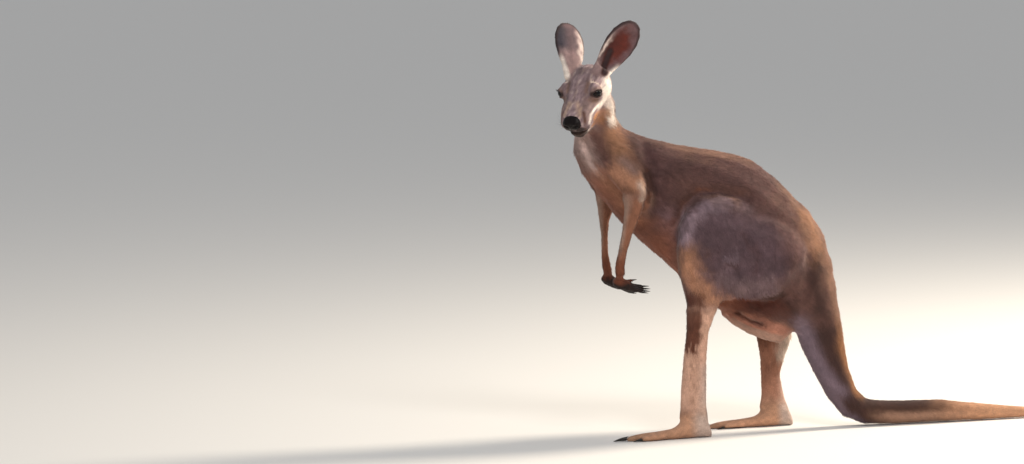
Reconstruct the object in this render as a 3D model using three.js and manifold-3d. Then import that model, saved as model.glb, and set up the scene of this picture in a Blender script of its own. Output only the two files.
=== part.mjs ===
// Red kangaroo, an adult female of about 23 kg, standing on both feet and its tail.
//
// Millimetres, +Z up, floor at Z = 0. The animal faces -X, its left side is towards -Y and its tail
// runs towards +X. Its body is modelled whole, from lofts through hoops that a taxidermist would
// set along the spine and the limbs, and is then parted with thin cuts where a person would name
// its parts.

import * as THREE from 'three';
import { mergeVertices } from 'three/addons/utils/BufferGeometryUtils.js';
import Module from 'manifold-3d';

const wasm = await Module();
wasm.setup();

// ---------------------------------------------------------------- driving dimensions

const CUT = 0.3;             // gap left where two parts meet
const SINK = 1.6;            // how far soles and tail are pressed in before the floor trims them
const THIGH_INNER = 24;      // how near to the middle of the body the thigh's own node reaches
const SHOULDER_INNER = 26;
const LEFT = -1;             // the side of the body, as the sign of Y
const RIGHT = 1;

// Head: its frame sits midway between the eyes, x along the muzzle, y to its left, z up its crown.
const HEAD_AT = new THREE.Vector3(-273, -85, 870);
const HEAD_TURN = THREE.MathUtils.degToRad(61);    // the face is turned to the animal's left
const HEAD_NOD = THREE.MathUtils.degToRad(40);     // and the muzzle points down
const EYE_RADIUS = 14;
const EYE_SPREAD = 45.5;
const EYE_FORWARD = 2;
const ORBIT = new THREE.Vector3(29, 15, 20);       // half sizes of the swelling of lids and brow
const ORBIT_SPREAD = 39;
const ORBIT_BACK = 7;
const EAR_LENGTH = 160;
const EAR_HALF_WIDTH = 42;
const EAR_WALL = 3.4;

// Feet: from the heel to the tip of the fourth toe, without its claw.
const FOOT_LENGTH = 222;
const LEFT_HEEL = { x: 28, y: -92, yaw: 11 };
const RIGHT_HEEL = { x: 240, y: 92, yaw: 8 };

// Hands: the palm and the five fingers, bent back at the wrist.
const PALM_LENGTH = 36;
const FINGER_LENGTH = 27;
const FINGER_RADIUS = 5.2;

// ---------------------------------------------------------------- solids

// A hoop seen from the side: its two ends in X and Z, its half width, and where it lies in Y.
const hoop = (x1, z1, x2, z2, halfWidth, y = 0) => ({
  centre: new THREE.Vector3((x1 + x2) / 2, y, (z1 + z2) / 2),
  rise: new THREE.Vector3((x1 - x2) / 2, 0, (z1 - z2) / 2),
  side: new THREE.Vector3(0, halfWidth, 0),
});

// Turns a three.js geometry into a manifold solid, with its faces pointing out.
function solid(geometry) {
  const bare = geometry.clone();
  bare.deleteAttribute('normal');
  bare.deleteAttribute('uv');
  const merged = mergeVertices(bare, 1e-3);
  const p = merged.attributes.position;
  const triangles = Uint32Array.from(merged.index.array);
  const a = new THREE.Vector3();
  const b = new THREE.Vector3();
  const c = new THREE.Vector3();
  let volume = 0;
  for (let i = 0; i < triangles.length; i += 3) {
    a.fromBufferAttribute(p, triangles[i]);
    b.fromBufferAttribute(p, triangles[i + 1]);
    c.fromBufferAttribute(p, triangles[i + 2]);
    volume += a.dot(b.cross(c));
  }
  if (volume < 0) {
    for (let i = 0; i < triangles.length; i += 3) {
      [triangles[i], triangles[i + 1]] = [triangles[i + 1], triangles[i]];
    }
  }
  const vertProperties = Float32Array.from(p.array);
  return new wasm.Manifold(new wasm.Mesh({ numProp: 3, vertProperties, triVerts: triangles }));
}

// A skin over hoops: a sphere whose rows are laid on the hoops, with a rounded cap at either end.
function loft(hoops, { around = 18, steps = 12, caps = [8, 8], capRows = 2, grow = 0 } = {}) {
  const rails = {};
  for (const key of ['centre', 'rise', 'side']) {
    rails[key] = new THREE.CatmullRomCurve3(hoops.map((h) => h[key]), false, 'centripetal');
  }
  const at = (key, t) => rails[key].getPoint(t);
  const rows = steps + 2 * capRows;
  const sphere = new THREE.SphereGeometry(1, around, rows);
  const p = sphere.attributes.position;
  const spot = new THREE.Vector3();
  for (let k = 0; k < p.count; k += 1) {
    const row = Math.floor(k / (around + 1));
    const angle = (2 * Math.PI * (k % (around + 1))) / around;
    const t = THREE.MathUtils.clamp((row - capRows) / steps, 0, 1);
    const centre = at('centre', t);
    const rise = at('rise', t);
    const side = at('side', t);
    rise.setLength(rise.length() + grow);
    side.setLength(side.length() + grow);
    let girth = 1;
    if (row < capRows || row > steps + capRows) {
      const first = row < capRows;
      const lift = first ? (capRows - row) / capRows : (row - steps - capRows) / capRows;
      const next = at('centre', first ? 0.02 : 0.98);
      const out = centre.clone().sub(next).normalize();
      const length = caps[first ? 0 : 1] + grow;
      centre.addScaledVector(out, length * Math.sin((lift * Math.PI) / 2));
      girth = Math.cos((lift * Math.PI) / 2);
      if (lift === 1) girth = 0;
    }
    spot.copy(centre);
    spot.addScaledVector(rise, girth * Math.cos(angle));
    spot.addScaledVector(side, girth * Math.sin(angle));
    p.setXYZ(k, spot.x, spot.y, spot.z);
  }
  return solid(sphere);
}

// A tapering tube through a few points, for toes, fingers and claws.
function taper(points, radii, grow = 0) {
  const line = new THREE.CatmullRomCurve3(points, false, 'centripetal');
  const frames = line.computeFrenetFrames(radii.length - 1, false);
  const hoops = radii.map((radius, i) => ({
    centre: line.getPointAt(i / (radii.length - 1)),
    rise: frames.normals[i].clone().setLength(radius),
    side: frames.binormals[i].clone().setLength(radius),
  }));
  const caps = [radii[0] * 0.6, radii[radii.length - 1] * 0.6];
  return loft(hoops, { around: 5, steps: radii.length - 1, caps, capRows: 1, grow });
}

const union = (...solids) => solids.reduce((whole, next) => whole.add(next));

// A block as large as the animal, whose one face passes through a point and faces a direction.
function block(point, facing) {
  const size = 3000;
  const box = new THREE.BoxGeometry(size, size, size);
  box.translate(0, 0, -size / 2);
  const turn = new THREE.Quaternion().setFromUnitVectors(new THREE.Vector3(0, 0, 1), facing);
  box.applyQuaternion(turn);
  box.translate(point.x, point.y, point.z);
  return solid(box);
}

// A plane seen edge-on from the side: a point on it in X and Z, and the way it faces.
const plane = (x, z, facingX, facingZ) => ({
  point: new THREE.Vector3(x, 0, z),
  facing: new THREE.Vector3(facingX, 0, facingZ).normalize(),
});

// Parts a solid across a plane and leaves the thin gap: what lies behind the plane, and the rest.
function part(whole, { point, facing }) {
  const beyond = point.clone().addScaledVector(facing, CUT);
  return [whole.intersect(block(point, facing)), whole.subtract(block(beyond, facing))];
}

// The largest piece of a solid, where a cut leaves slivers beside it.
function mainBody(whole) {
  const pieces = whole.decompose();
  return pieces.reduce((best, next) => (next.volume() > best.volume() ? next : best));
}

const placed = (shape, matrix) => shape.transform(matrix.elements);

// ---------------------------------------------------------------- neck, trunk and tail

// Hoops from the nape down the neck, over the shoulders and the long back to the root of the tail.
const SPINE = [
  hoop(-200, 889, -268, 860, 36, -44),     // under the occiput
  hoop(-184, 846, -284, 806, 44, -38),
  hoop(-182, 808, -292, 766, 50, -28),     // base of the neck
  hoop(-168, 780, -297, 715, 60, -18),
  hoop(-132, 761, -282, 664, 70, -12),     // shoulders
  hoop(-82, 744, -243, 612, 81, -8),
  hoop(-24, 729, -196, 546, 91, -4),       // chest
  hoop(45, 716, -140, 485, 101, 0),
  hoop(97, 705, -92, 442, 110, 0),         // belly
  hoop(147, 686, -40, 388, 118, 0),
  hoop(196, 651, 10, 340, 121, 0),         // loins
  hoop(244, 602, 60, 300, 118, 0),
  hoop(293, 553, 114, 270, 108, 0),        // rump
  hoop(326, 492, 165, 252, 94, 0),
  hoop(348, 415, 205, 246, 76, 2),
  hoop(359, 336, 232, 246, 61, 4),         // root of the tail
];

// The tail hangs down in a gentle arc, bends on the floor and lies along it.
const TAIL = [
  hoop(368, 262, 243, 242, 51, 6),
  hoop(374, 205, 260, 196, 45, 8),
  hoop(382, 150, 286, 140, 41, 11),
  hoop(399, 98, 318, 76, 38, 15),
  hoop(421, 74, 356, 26, 36, 20),
  hoop(458, 66, 410, 2, 33.5, 26),
  hoop(508, 63, 498, -SINK, 31.5, 32),     // first length flat on the floor
  hoop(608, 61, 606, -SINK, 30, 44),
  hoop(711, 45, 710, -SINK, 23.5, 57),
  hoop(813, 32, 812, -SINK, 17, 69),
  hoop(905, 21, 905, -SINK, 11, 80),
];

const wholeTrunk = (grow = 0) => loft([...SPINE, ...TAIL],
  { around: 16, steps: 26, caps: [10, 9], capRows: 1, grow });

// Where the trunk is parted, from the neck to the end of the tail.
const BELOW_NECK = plane(-238, 766, 0.55, -1);
const BEHIND_CHEST = plane(-68, 620, 1, -0.35);
const BEHIND_BELLY = plane(150, 460, 1, -0.35);
const BELOW_RUMP = plane(300, 262, 0.1, -1);
const BEHIND_TAIL_ROOT = plane(440, 30, 1, -0.2);
const BEFORE_TAIL_END = plane(680, 30, 1, 0);

// The pouch with its young hangs under the belly, between the knees.
const POUCH = [
  hoop(60, 350, 62, 296, 40),
  hoop(100, 350, 96, 262, 56),
  hoop(150, 350, 146, 234, 62),
  hoop(205, 330, 198, 214, 54),
  hoop(236, 300, 234, 238, 34),
];
const pouchShape = loft(POUCH, { around: 9, steps: 5, caps: [10, 6], capRows: 1 });

// ---------------------------------------------------------------- hind legs

// The left thigh: from the knee, which is bent well forward, back to the hip and the buttock.
const LEFT_THIGH = [
  hoop(-40, 516, -42, 395, 26, -112),
  hoop(-14, 572, -32, 348, 38, -103),
  hoop(36, 596, 8, 338, 49, -94),
  hoop(92, 586, 66, 334, 57, -88),
  hoop(146, 566, 124, 333, 61, -84),
  hoop(204, 548, 190, 344, 60, -80),
  hoop(250, 516, 238, 372, 50, -74),
  hoop(280, 468, 272, 410, 30, -66),
];

// The right thigh: the leg stands further back, so the knee is lower and less bent.
const RIGHT_THIGH = [
  hoop(50, 420, 98, 352, 30, 128),
  hoop(44, 456, 146, 306, 41, 120),
  hoop(62, 504, 196, 296, 51, 110),
  hoop(96, 544, 236, 318, 58, 100),
  hoop(136, 570, 268, 358, 61, 92),
  hoop(176, 580, 290, 408, 56, 84),
  hoop(212, 574, 296, 458, 44, 74),
];

// The shanks: long shin bones with the calf high up and the great tendon down to the heel.
const LEFT_SHANK = [
  hoop(-38, 420, 84, 392, 33, -112),
  hoop(-34, 360, 66, 344, 30, -108),
  hoop(-31, 312, 47, 306, 26, -104),
  hoop(-33, 264, 30, 262, 22, -100),
  hoop(-42, 200, 23, 198, 19, -97),
  hoop(-49, 140, 21, 140, 18, -95),
  hoop(-54, 86, 20, 86, 20, -94),
  hoop(-58, 46, 23, 44, 23, -95),
];
const RIGHT_SHANK = [
  hoop(62, 410, 134, 350, 33, 124),
  hoop(84, 352, 196, 300, 33, 119),
  hoop(112, 298, 240, 264, 31, 113),
  hoop(140, 250, 250, 234, 26, 106),
  hoop(155, 204, 236, 198, 22, 99),
  hoop(157, 158, 218, 156, 19, 94),
  hoop(158, 116, 212, 116, 18, 92),
  hoop(156, 78, 222, 80, 20, 92),
  hoop(150, 44, 231, 44, 23, 92),
];

const thigh = (hoops) => loft(hoops, { around: 12, steps: 7, caps: [10, 12], capRows: 1 });
const shank = (hoops, grow = 0) => loft(hoops, { around: 10, steps: 7, caps: [22, 10], capRows: 1, grow });

// A foot: heel, instep and the big fourth toe as one loft, the fifth toe beside it, and the
// slender second and third toes, joined in one skin, on its inner side. `out` is the outer side.
function foot(heel, out) {
  const along = (s) => -s;
  const sole = [
    hoop(along(4), 24, along(2), -SINK, 15, 0),
    hoop(along(14), 52, along(12), -SINK, 21, 0),
    hoop(along(46), 62, along(42), -SINK, 24, 0),
    hoop(along(78), 44, along(74), -SINK, 23.5, 0),
    hoop(along(100), 28, along(98), -SINK, 22, out),
    hoop(along(138), 23, along(137), -SINK, 20.5, out * 2),
    hoop(along(172), 21, along(172), -SINK, 17.5, out * 2),
    hoop(along(196), 18, along(196), -SINK, 11.5, out),
    hoop(along(FOOT_LENGTH - 6), 13, along(FOOT_LENGTH - 6), -SINK, 9, 0),
  ];
  const v = (s, side, z) => new THREE.Vector3(along(s), out * side, z);
  const flesh = (grow = 0) => union(
    loft(sole, { around: 10, steps: 8, caps: [5, 6], capRows: 1, grow }),
    taper([v(128, 15, 10), v(158, 22, 9), v(184, 24, 7)], [11, 9.5, 7], grow),
    taper([v(132, -15, 9), v(156, -19, 8), v(180, -19, 6.5)], [8, 6.5, 5.5], grow),
  );
  const body = flesh();
  const claws = {
    claw_4: taper([v(214, 0, 7.5), v(234, 0, 6.5), v(252, 0, 2.2)], [6.2, 4.8, 1.2]),
    claw_5: taper([v(182, 24, 5.5), v(196, 24.5, 4.6), v(207, 24.5, 1.8)], [4.2, 3.3, 0.9]),
    claws_2_3: union(
      taper([v(178, -17.4, 6), v(188, -17, 5), v(197, -16.6, 2)], [2.8, 0.8]),
      taper([v(178, -20.4, 6), v(186, -21, 5), v(195, -21.6, 2)], [2.8, 0.8]),
    ),
  };
  const bed = flesh(CUT);
  const stand = new THREE.Matrix4().makeRotationZ(THREE.MathUtils.degToRad(heel.yaw));
  stand.setPosition(heel.x, heel.y, 0);
  for (const name of Object.keys(claws)) {
    claws[name] = placed(mainBody(claws[name].subtract(bed)), stand);
  }
  return { body: placed(body, stand), claws };
}

// ---------------------------------------------------------------- arms and hands

// Each arm from the shoulder blade down to the elbow, and from the elbow down to the wrist.
const LEFT_UPPER_ARM = [
  hoop(-240, 718, -150, 736, 24, -48),
  hoop(-234, 680, -124, 688, 32, -66),
  hoop(-210, 642, -110, 648, 28, -84),
  hoop(-184, 612, -110, 620, 21, -95),
];
const RIGHT_UPPER_ARM = [
  hoop(-284, 718, -200, 736, 24, 36),
  hoop(-282, 676, -184, 684, 32, 52),
  hoop(-266, 636, -176, 638, 26, 65),
  hoop(-248, 602, -178, 608, 19, 72),
];
const LEFT_FOREARM = [
  hoop(-182, 612, -116, 622, 20, -96),
  hoop(-176, 584, -117, 590, 19, -98),
  hoop(-178, 552, -134, 552, 17, -98),
  hoop(-184, 516, -152, 514, 14, -96),
  hoop(-193, 474, -167, 469, 12, -92),
  hoop(-203, 434, -174, 432, 12.5, -87),
  hoop(-203, 412, -173, 412, 13, -84),
];
const RIGHT_FOREARM = [
  hoop(-246, 604, -184, 610, 18, 72),
  hoop(-240, 572, -190, 574, 17, 72),
  hoop(-236, 536, -206, 534, 15, 69),
  hoop(-232, 498, -211, 498, 12.5, 64),
  hoop(-233, 456, -212, 456, 11.5, 57),
  hoop(-233, 424, -206, 424, 12.5, 50),
  hoop(-230, 406, -203, 406, 13, 47),
];
const armRound = { around: 8, caps: [10, 8], capRows: 1 };
const upperArm = (hoops) => loft(hoops, { ...armRound, steps: 3 });
const forearm = (hoops, grow = 0) => loft(hoops, { ...armRound, steps: 6, grow });

// A hand from its wrist: x towards the fingertips, z out of the palm, and the thumb at +y.
function hand(wrist, fingers, palmFacing, thumb) {
  const palm = [
    hoop(-14, 14, -16, -12, 13, 0),
    hoop(2, 15, -4, -17, 16, 0),
    hoop(20, 11, 18, -15, 18, 0),
    hoop(PALM_LENGTH, 6, PALM_LENGTH, -10, 17, 0),
  ];
  const v = (x, y, z) => new THREE.Vector3(x, y, z);
  const spread = [13, 5, -3.5, -11.5];
  const reach = [-3, 0, -1, -7];
  const digits = spread.map((y, i) => {
    const tip = PALM_LENGTH + FINGER_LENGTH + reach[i];
    const fan = y * 1.5;
    return {
      bones: [v(PALM_LENGTH - 6, y, -2), v(PALM_LENGTH + 13, (y + fan) / 2, -3.5), v(tip, fan, 1)],
      nail: [v(tip - 1, fan, 0), v(tip + 8, fan * 1.08, 0), v(tip + 16, fan * 1.14, 5)],
    };
  });
  digits.push({
    bones: [v(8, 12, 0), v(20, 22, 2), v(31, 27, 4)],
    nail: [v(29, 26.5, 3.5), v(37, 30, 4), v(43, 32, 8)],
  });
  const finger = (digit, grow = 0) => taper(digit.bones, [FINGER_RADIUS + 0.8, 4.4], grow);
  const body = union(
    loft(palm, { around: 8, steps: 3, caps: [6, 5], capRows: 1 }),
    ...digits.map((digit) => finger(digit)),
  );
  const claws = digits.map((digit) => (
    mainBody(taper(digit.nail, [3.2, 0.8]).subtract(finger(digit, CUT)))
  ));
  const x = fingers.clone().normalize();
  const z = palmFacing.clone().addScaledVector(x, -palmFacing.dot(x)).normalize();
  const y = z.clone().cross(x).multiplyScalar(thumb);
  const turn = new THREE.Matrix4().makeBasis(x, y, z).setPosition(wrist);
  return { body: placed(body, turn), claws: claws.map((claw) => placed(claw, turn)) };
}

// ---------------------------------------------------------------- head

// Hoops along the skull in the head's own frame, from the occiput to the end of the muzzle.
const SKULL = [
  hoop(-94, 8, -86, -40, 36),
  hoop(-80, 23, -70, -64, 49),
  hoop(-58, 34, -48, -78, 58),
  hoop(-34, 37, -26, -86, 59),
  hoop(-8, 31, -8, -85, 55),
  hoop(16, 20, 12, -80, 49),
  hoop(38, 10, 34, -77, 47),
  hoop(60, 1, 55, -74, 44),
  hoop(75, -6, 71, -71, 40),
  hoop(86, -13, 82, -61, 34),
];
const skull = (grow = 0) => loft(SKULL, { around: 13, steps: 9, caps: [10, 7], capRows: 1, grow });

// The lower jaw, from the chin to below the ear.
const JAW = [
  hoop(84, -54, 80, -80, 17),
  hoop(65, -53, 61, -85, 24),
  hoop(35, -54, 31, -87, 29),
  hoop(2, -56, 0, -87, 33),
  hoop(-22, -64, -24, -89, 31),
];
const jawShape = (grow = 0) => loft(JAW, { around: 9, steps: 5, caps: [5, 6], capRows: 1, grow });

// The swelling that the lids and the brow make round each eye.
function orbits(grow = 0) {
  const sides = [LEFT, RIGHT].map((side) => {
    const ball = new THREE.SphereGeometry(1, 8, 5);
    ball.scale(ORBIT.x + grow, ORBIT.y + grow, ORBIT.z + grow);
    ball.translate(-ORBIT_BACK, side * ORBIT_SPREAD, 0);
    return solid(ball);
  });
  return union(...sides);
}

// The bare black end of the nose.
const NOSE = [
  hoop(74, -8, 74, -28, 21),
  hoop(84, -11, 83, -43, 27),
  hoop(93, -17, 91, -43, 23),
];
const noseShape = (grow = 0) => loft(NOSE, { around: 9, steps: 3, caps: [3, 3.5], capRows: 1, grow });

function eyeball(out, radius) {
  const ball = new THREE.SphereGeometry(radius, 8, 6);
  ball.rotateX(Math.PI / 2);
  ball.translate(EYE_FORWARD, out * EYE_SPREAD, 0);
  return solid(ball);
}

const headFrame = () => {
  const forward = new THREE.Vector3(
    -Math.cos(HEAD_TURN) * Math.cos(HEAD_NOD),
    -Math.sin(HEAD_TURN) * Math.cos(HEAD_NOD),
    -Math.sin(HEAD_NOD),
  );
  const left = new THREE.Vector3(Math.sin(HEAD_TURN), -Math.cos(HEAD_TURN), 0);
  const up = forward.clone().cross(left);
  return new THREE.Matrix4().makeBasis(forward, left, up).setPosition(HEAD_AT);
};

// An ear: a leaf rolled into a funnel, hollowed from the side that it opens to.
function ear(base, towardsTip, opening) {
  const tip = towardsTip.clone().normalize();
  const open = opening.clone().addScaledVector(tip, -opening.dot(tip)).normalize();
  const across = tip.clone().cross(open);
  const outline = [[-0.12, 0.5, 22], [0.13, 0.61, 21], [0.32, 0.85, 22], [0.52, 1, 21], [0.7, 0.98, 17],
    [0.85, 0.78, 12], [0.95, 0.46, 7]];
  const ring = ([height, width, depth], inner) => {
    const half = EAR_HALF_WIDTH * width - (inner ? EAR_WALL : 0);
    const back = depth * 0.62 - (inner ? EAR_WALL : 0);
    const front = inner ? depth * 1.2 : depth * 0.38;
    const centre = base.clone().addScaledVector(tip, height * EAR_LENGTH - (inner ? EAR_WALL : 0));
    centre.addScaledVector(open, (front - back) / 2);
    return {
      centre,
      rise: open.clone().multiplyScalar((front + back) / 2),
      side: across.clone().multiplyScalar(half),
    };
  };
  const shell = (grow = 0) => loft(outline.map((row) => ring(row, false)),
    { around: 10, steps: 6, caps: [4, 6], capRows: 1, grow });
  const hollow = loft(outline.slice(1).map((row) => ring(row, true)),
    { around: 10, steps: 5, caps: [2, 4], capRows: 1 });
  return { shell, leaf: shell().subtract(hollow) };
}

// ---------------------------------------------------------------- joining, trimming and parting

const floor = block(new THREE.Vector3(0, 0, 0), new THREE.Vector3(0, 0, 1));
const toWorld = headFrame();

const leftEar = ear(new THREE.Vector3(-224, -78, 914), new THREE.Vector3(0.62, 0.11, 0.79),
  new THREE.Vector3(0.5, -0.85, 0.1));
const rightEar = ear(new THREE.Vector3(-292, -50, 914), new THREE.Vector3(-0.03, 0.63, 0.775),
  new THREE.Vector3(-0.45, 0.85, -0.3));

const eyes = {
  left: placed(eyeball(1, EYE_RADIUS), toWorld),
  right: placed(eyeball(-1, EYE_RADIUS), toWorld),
};
const sockets = placed(union(eyeball(1, EYE_RADIUS + CUT), eyeball(-1, EYE_RADIUS + CUT)), toWorld);

const nose = placed(noseShape(), toWorld);
const wholeHead = (grow = 0) => placed(skull(grow).add(orbits(grow)), toWorld);
const headHollows = union(sockets, placed(noseShape(CUT), toWorld));
const jaw = placed(jawShape().subtract(noseShape(CUT)), toWorld).subtract(sockets);
const head = mainBody(wholeHead()
  .subtract(headHollows)
  .subtract(placed(jawShape(CUT), toWorld)));
const headRoom = union(wholeHead(CUT), placed(jawShape(CUT), toWorld));
const ears = {
  left: mainBody(leftEar.leaf.subtract(headRoom)),
  right: mainBody(rightEar.leaf.subtract(headRoom)),
};

// The trunk with its limbs, in one body, is what the limbs are then parted from. A limb's room
// reaches from near the middle of the body to far outside it, so that the cut runs straight in.
const ROOM_REACH = 120;
const ROOM_MARGIN = 6;
const room = (hoops, side, inner) => hoops.map((h) => ({
  centre: new THREE.Vector3(h.centre.x, side * (inner + ROOM_REACH), h.centre.z),
  rise: h.rise.clone().setLength(h.rise.length() + ROOM_MARGIN),
  side: new THREE.Vector3(0, ROOM_REACH, 0),
}));

const leftFoot = foot(LEFT_HEEL, LEFT);
const rightFoot = foot(RIGHT_HEEL, RIGHT);
const leftHand = hand(new THREE.Vector3(-189, -83, 392), new THREE.Vector3(0.93, 0.14, -0.34),
  new THREE.Vector3(0.2, -0.35, 0.94), 1);
const rightHand = hand(new THREE.Vector3(-215, 43, 390), new THREE.Vector3(0.85, -0.16, -0.52),
  new THREE.Vector3(0.4, 0.3, 0.86), -1);

const limbs = [
  {
    name: 'left', side: LEFT, thigh: LEFT_THIGH, shank: LEFT_SHANK, foot: leftFoot,
    upperArm: LEFT_UPPER_ARM, forearm: LEFT_FOREARM, hand: leftHand,
    knee: plane(20, 326, 0, -1), ankle: plane(-20, 60, 0, -1),
    elbow: plane(-148, 612, 0.1, -1), wrist: plane(-188, 406, 0.1, -1),
  },
  {
    name: 'right', side: RIGHT, thigh: RIGHT_THIGH, shank: RIGHT_SHANK, foot: rightFoot,
    upperArm: RIGHT_UPPER_ARM, forearm: RIGHT_FOREARM, hand: rightHand,
    knee: plane(140, 288, 0, -1), ankle: plane(190, 60, 0, -1),
    elbow: plane(-212, 602, 0.1, -1), wrist: plane(-217, 402, 0.1, -1),
  },
];

const legShapes = limbs.map((limb) => union(thigh(limb.thigh), shank(limb.shank)));
const armShapes = limbs.map((limb) => union(upperArm(limb.upperArm), forearm(limb.forearm)));
const whole = union(wholeTrunk(), ...legShapes, ...armShapes);
const legRoom = (limb, grow = 0) => union(
  loft(room(limb.thigh, limb.side, THIGH_INNER),
    { around: 8, steps: 5, caps: [12, 14], capRows: 1, grow }),
  shank(limb.shank, ROOM_MARGIN + grow),
);
const armRoom = (limb, grow = 0) => union(
  loft(room(limb.upperArm, limb.side, SHOULDER_INNER), { ...armRound, around: 6, steps: 2, grow }),
  forearm(limb.forearm, ROOM_MARGIN + grow),
);
const limbRoom = union(...limbs.map((limb) => union(legRoom(limb, CUT), armRoom(limb, CUT))));

const trunk = whole
  .subtract(limbRoom)
  .subtract(headRoom)
  .subtract(floor);
const [neck, behindNeck] = part(trunk, BELOW_NECK);
const [chest, behindChest] = part(behindNeck, BEHIND_CHEST);
const [abdomen, behindAbdomen] = part(behindChest, BEHIND_BELLY);
const [rump, tail] = part(behindAbdomen, BELOW_RUMP);
const [tailRoot, farTail] = part(tail, BEHIND_TAIL_ROOT);
const [tailMiddle, tailEnd] = part(farTail, BEFORE_TAIL_END);

// ---------------------------------------------------------------- the named parts

const kangaroo = new THREE.Group();
kangaroo.name = 'red_kangaroo';

const finish = (color, roughness) => new THREE.MeshStandardMaterial({ color, roughness, metalness: 0 });
const coat = finish('#8a7468', 0.85);
const rusty = finish('#94705a', 0.85);
const blueGrey = finish('#6f6468', 0.85);
const pale = finish('#b9a596', 0.85);
const dark = finish('#2c211e', 0.8);
const claw = finish('#1d1a19', 0.4);
const eyeBlack = finish('#0d0a09', 0.08);
const noseBlack = finish('#191617', 0.45);

function add(name, body, material) {
  const mesh = body.getMesh();
  const geometry = new THREE.BufferGeometry();
  geometry.setAttribute('position', new THREE.BufferAttribute(mesh.vertProperties, 3));
  geometry.setIndex(new THREE.BufferAttribute(mesh.triVerts, 1));
  const piece = new THREE.Mesh(geometry, material);
  piece.name = name;
  kangaroo.add(piece);
}

add('head', head, coat);
add('lower_jaw', jaw, pale);
add('nose_pad', nose, noseBlack);
for (const side of ['left', 'right']) {
  add(`eye_${side}`, eyes[side], eyeBlack);
  add(`ear_${side}`, ears[side], blueGrey);
}
add('neck', mainBody(neck), rusty);
add('chest', mainBody(chest), rusty);
add('abdomen', mainBody(abdomen), coat);
add('rump', mainBody(rump), coat);
add('tail_root', mainBody(tailRoot), blueGrey);
add('tail_middle', mainBody(tailMiddle), coat);
add('tail_end', mainBody(tailEnd), pale);

const pouch = pouchShape.subtract(wholeTrunk(CUT)).subtract(limbRoom);
add('pouch', mainBody(pouch), pale);

for (const limb of limbs) {
  const leg = whole.intersect(legRoom(limb)).add(limb.foot.body).subtract(floor);
  const [upperLeg, belowKnee] = part(leg, limb.knee);
  const [shin, footBody] = part(belowKnee, limb.ankle);
  add(`thigh_${limb.name}`, mainBody(upperLeg), blueGrey);
  add(`shank_${limb.name}`, mainBody(shin), pale);
  add(`foot_${limb.name}`, mainBody(footBody), pale);
  for (const [name, body] of Object.entries(limb.foot.claws)) {
    add(`foot_${limb.name}_${name}`, body.subtract(floor), claw);
  }
  const arm = whole.intersect(armRoom(limb)).subtract(headRoom).add(limb.hand.body);
  const [shoulder, belowElbow] = part(arm, limb.elbow);
  const [fore, handBody] = part(belowElbow, limb.wrist);
  add(`upper_arm_${limb.name}`, mainBody(shoulder), rusty);
  add(`forearm_${limb.name}`, mainBody(fore), coat);
  add(`hand_${limb.name}`, mainBody(handBody), dark);
  limb.hand.claws.forEach((body, i) => add(`hand_${limb.name}_claw_${i + 1}`, body, claw));
}

const extent = new THREE.Box3().setFromObject(kangaroo);
const middle = extent.getCenter(new THREE.Vector3());
kangaroo.position.set(-middle.x, -middle.y, 0);

export default kangaroo;
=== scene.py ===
import math

import bmesh
import bpy
import numpy as np
from mathutils import Matrix, Vector
from mathutils.bvhtree import BVHTree
from numpy.linalg import norm


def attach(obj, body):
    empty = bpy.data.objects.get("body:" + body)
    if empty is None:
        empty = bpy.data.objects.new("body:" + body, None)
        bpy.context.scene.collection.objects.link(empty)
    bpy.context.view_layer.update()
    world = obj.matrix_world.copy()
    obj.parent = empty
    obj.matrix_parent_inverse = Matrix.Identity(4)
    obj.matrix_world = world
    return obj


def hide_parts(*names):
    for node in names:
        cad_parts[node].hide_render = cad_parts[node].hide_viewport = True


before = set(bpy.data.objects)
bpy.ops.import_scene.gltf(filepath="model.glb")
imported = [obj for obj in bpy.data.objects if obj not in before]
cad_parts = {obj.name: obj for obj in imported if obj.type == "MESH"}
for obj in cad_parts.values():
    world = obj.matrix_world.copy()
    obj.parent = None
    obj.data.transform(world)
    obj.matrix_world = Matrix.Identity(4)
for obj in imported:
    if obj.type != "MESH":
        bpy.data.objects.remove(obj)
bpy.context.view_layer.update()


# ---- camera
# A long lens on the animal's left, far off and a little above it, so that the form is flattened. The
# animal stands in the right half of the frame, and its tail runs out at the edge.
CAMERA_AIM = Vector((-0.7452, -0.002, 0.521))
CAMERA_DISTANCE = 14.222
CAMERA_ELEVATION = math.radians(5)
CAMERA_ROLL = math.radians(2)


def linked(name, data):
    """An object of this data that stands in the scene."""
    thing = bpy.data.objects.new(name, data)
    bpy.context.scene.collection.objects.link(thing)
    return thing


camera_back = Vector((0, -math.cos(CAMERA_ELEVATION), math.sin(CAMERA_ELEVATION)))
level_right = Vector((1, 0, 0))
level_up = camera_back.cross(level_right)
camera_right = level_right * math.cos(CAMERA_ROLL) - level_up * math.sin(CAMERA_ROLL)
camera_up = level_up * math.cos(CAMERA_ROLL) + level_right * math.sin(CAMERA_ROLL)
camera = linked("camera", bpy.data.cameras.new("camera"))
camera.data.lens = 200
camera.data.sensor_width = 36
camera.data.clip_end = 200
turn = Matrix((camera_right, camera_up, camera_back)).transposed().to_4x4()
camera.matrix_world = Matrix.Translation(CAMERA_AIM + camera_back * CAMERA_DISTANCE) @ turn
bpy.context.scene.camera = camera


# ---- studio
# A wide pale floor, an even pale surround, one large soft lamp high on the animal's left, and a warm
# one high behind it, which draws the pale edge along its back.


def new_finish(name, values):
    """A material and its shader, with these values on the shader's own sockets."""
    finish = bpy.data.materials.new(name)
    finish.use_nodes = True
    shader = finish.node_tree.nodes["Principled BSDF"]
    for socket, value in values.items():
        shader.inputs[socket].default_value = value
    return finish, shader


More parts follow.
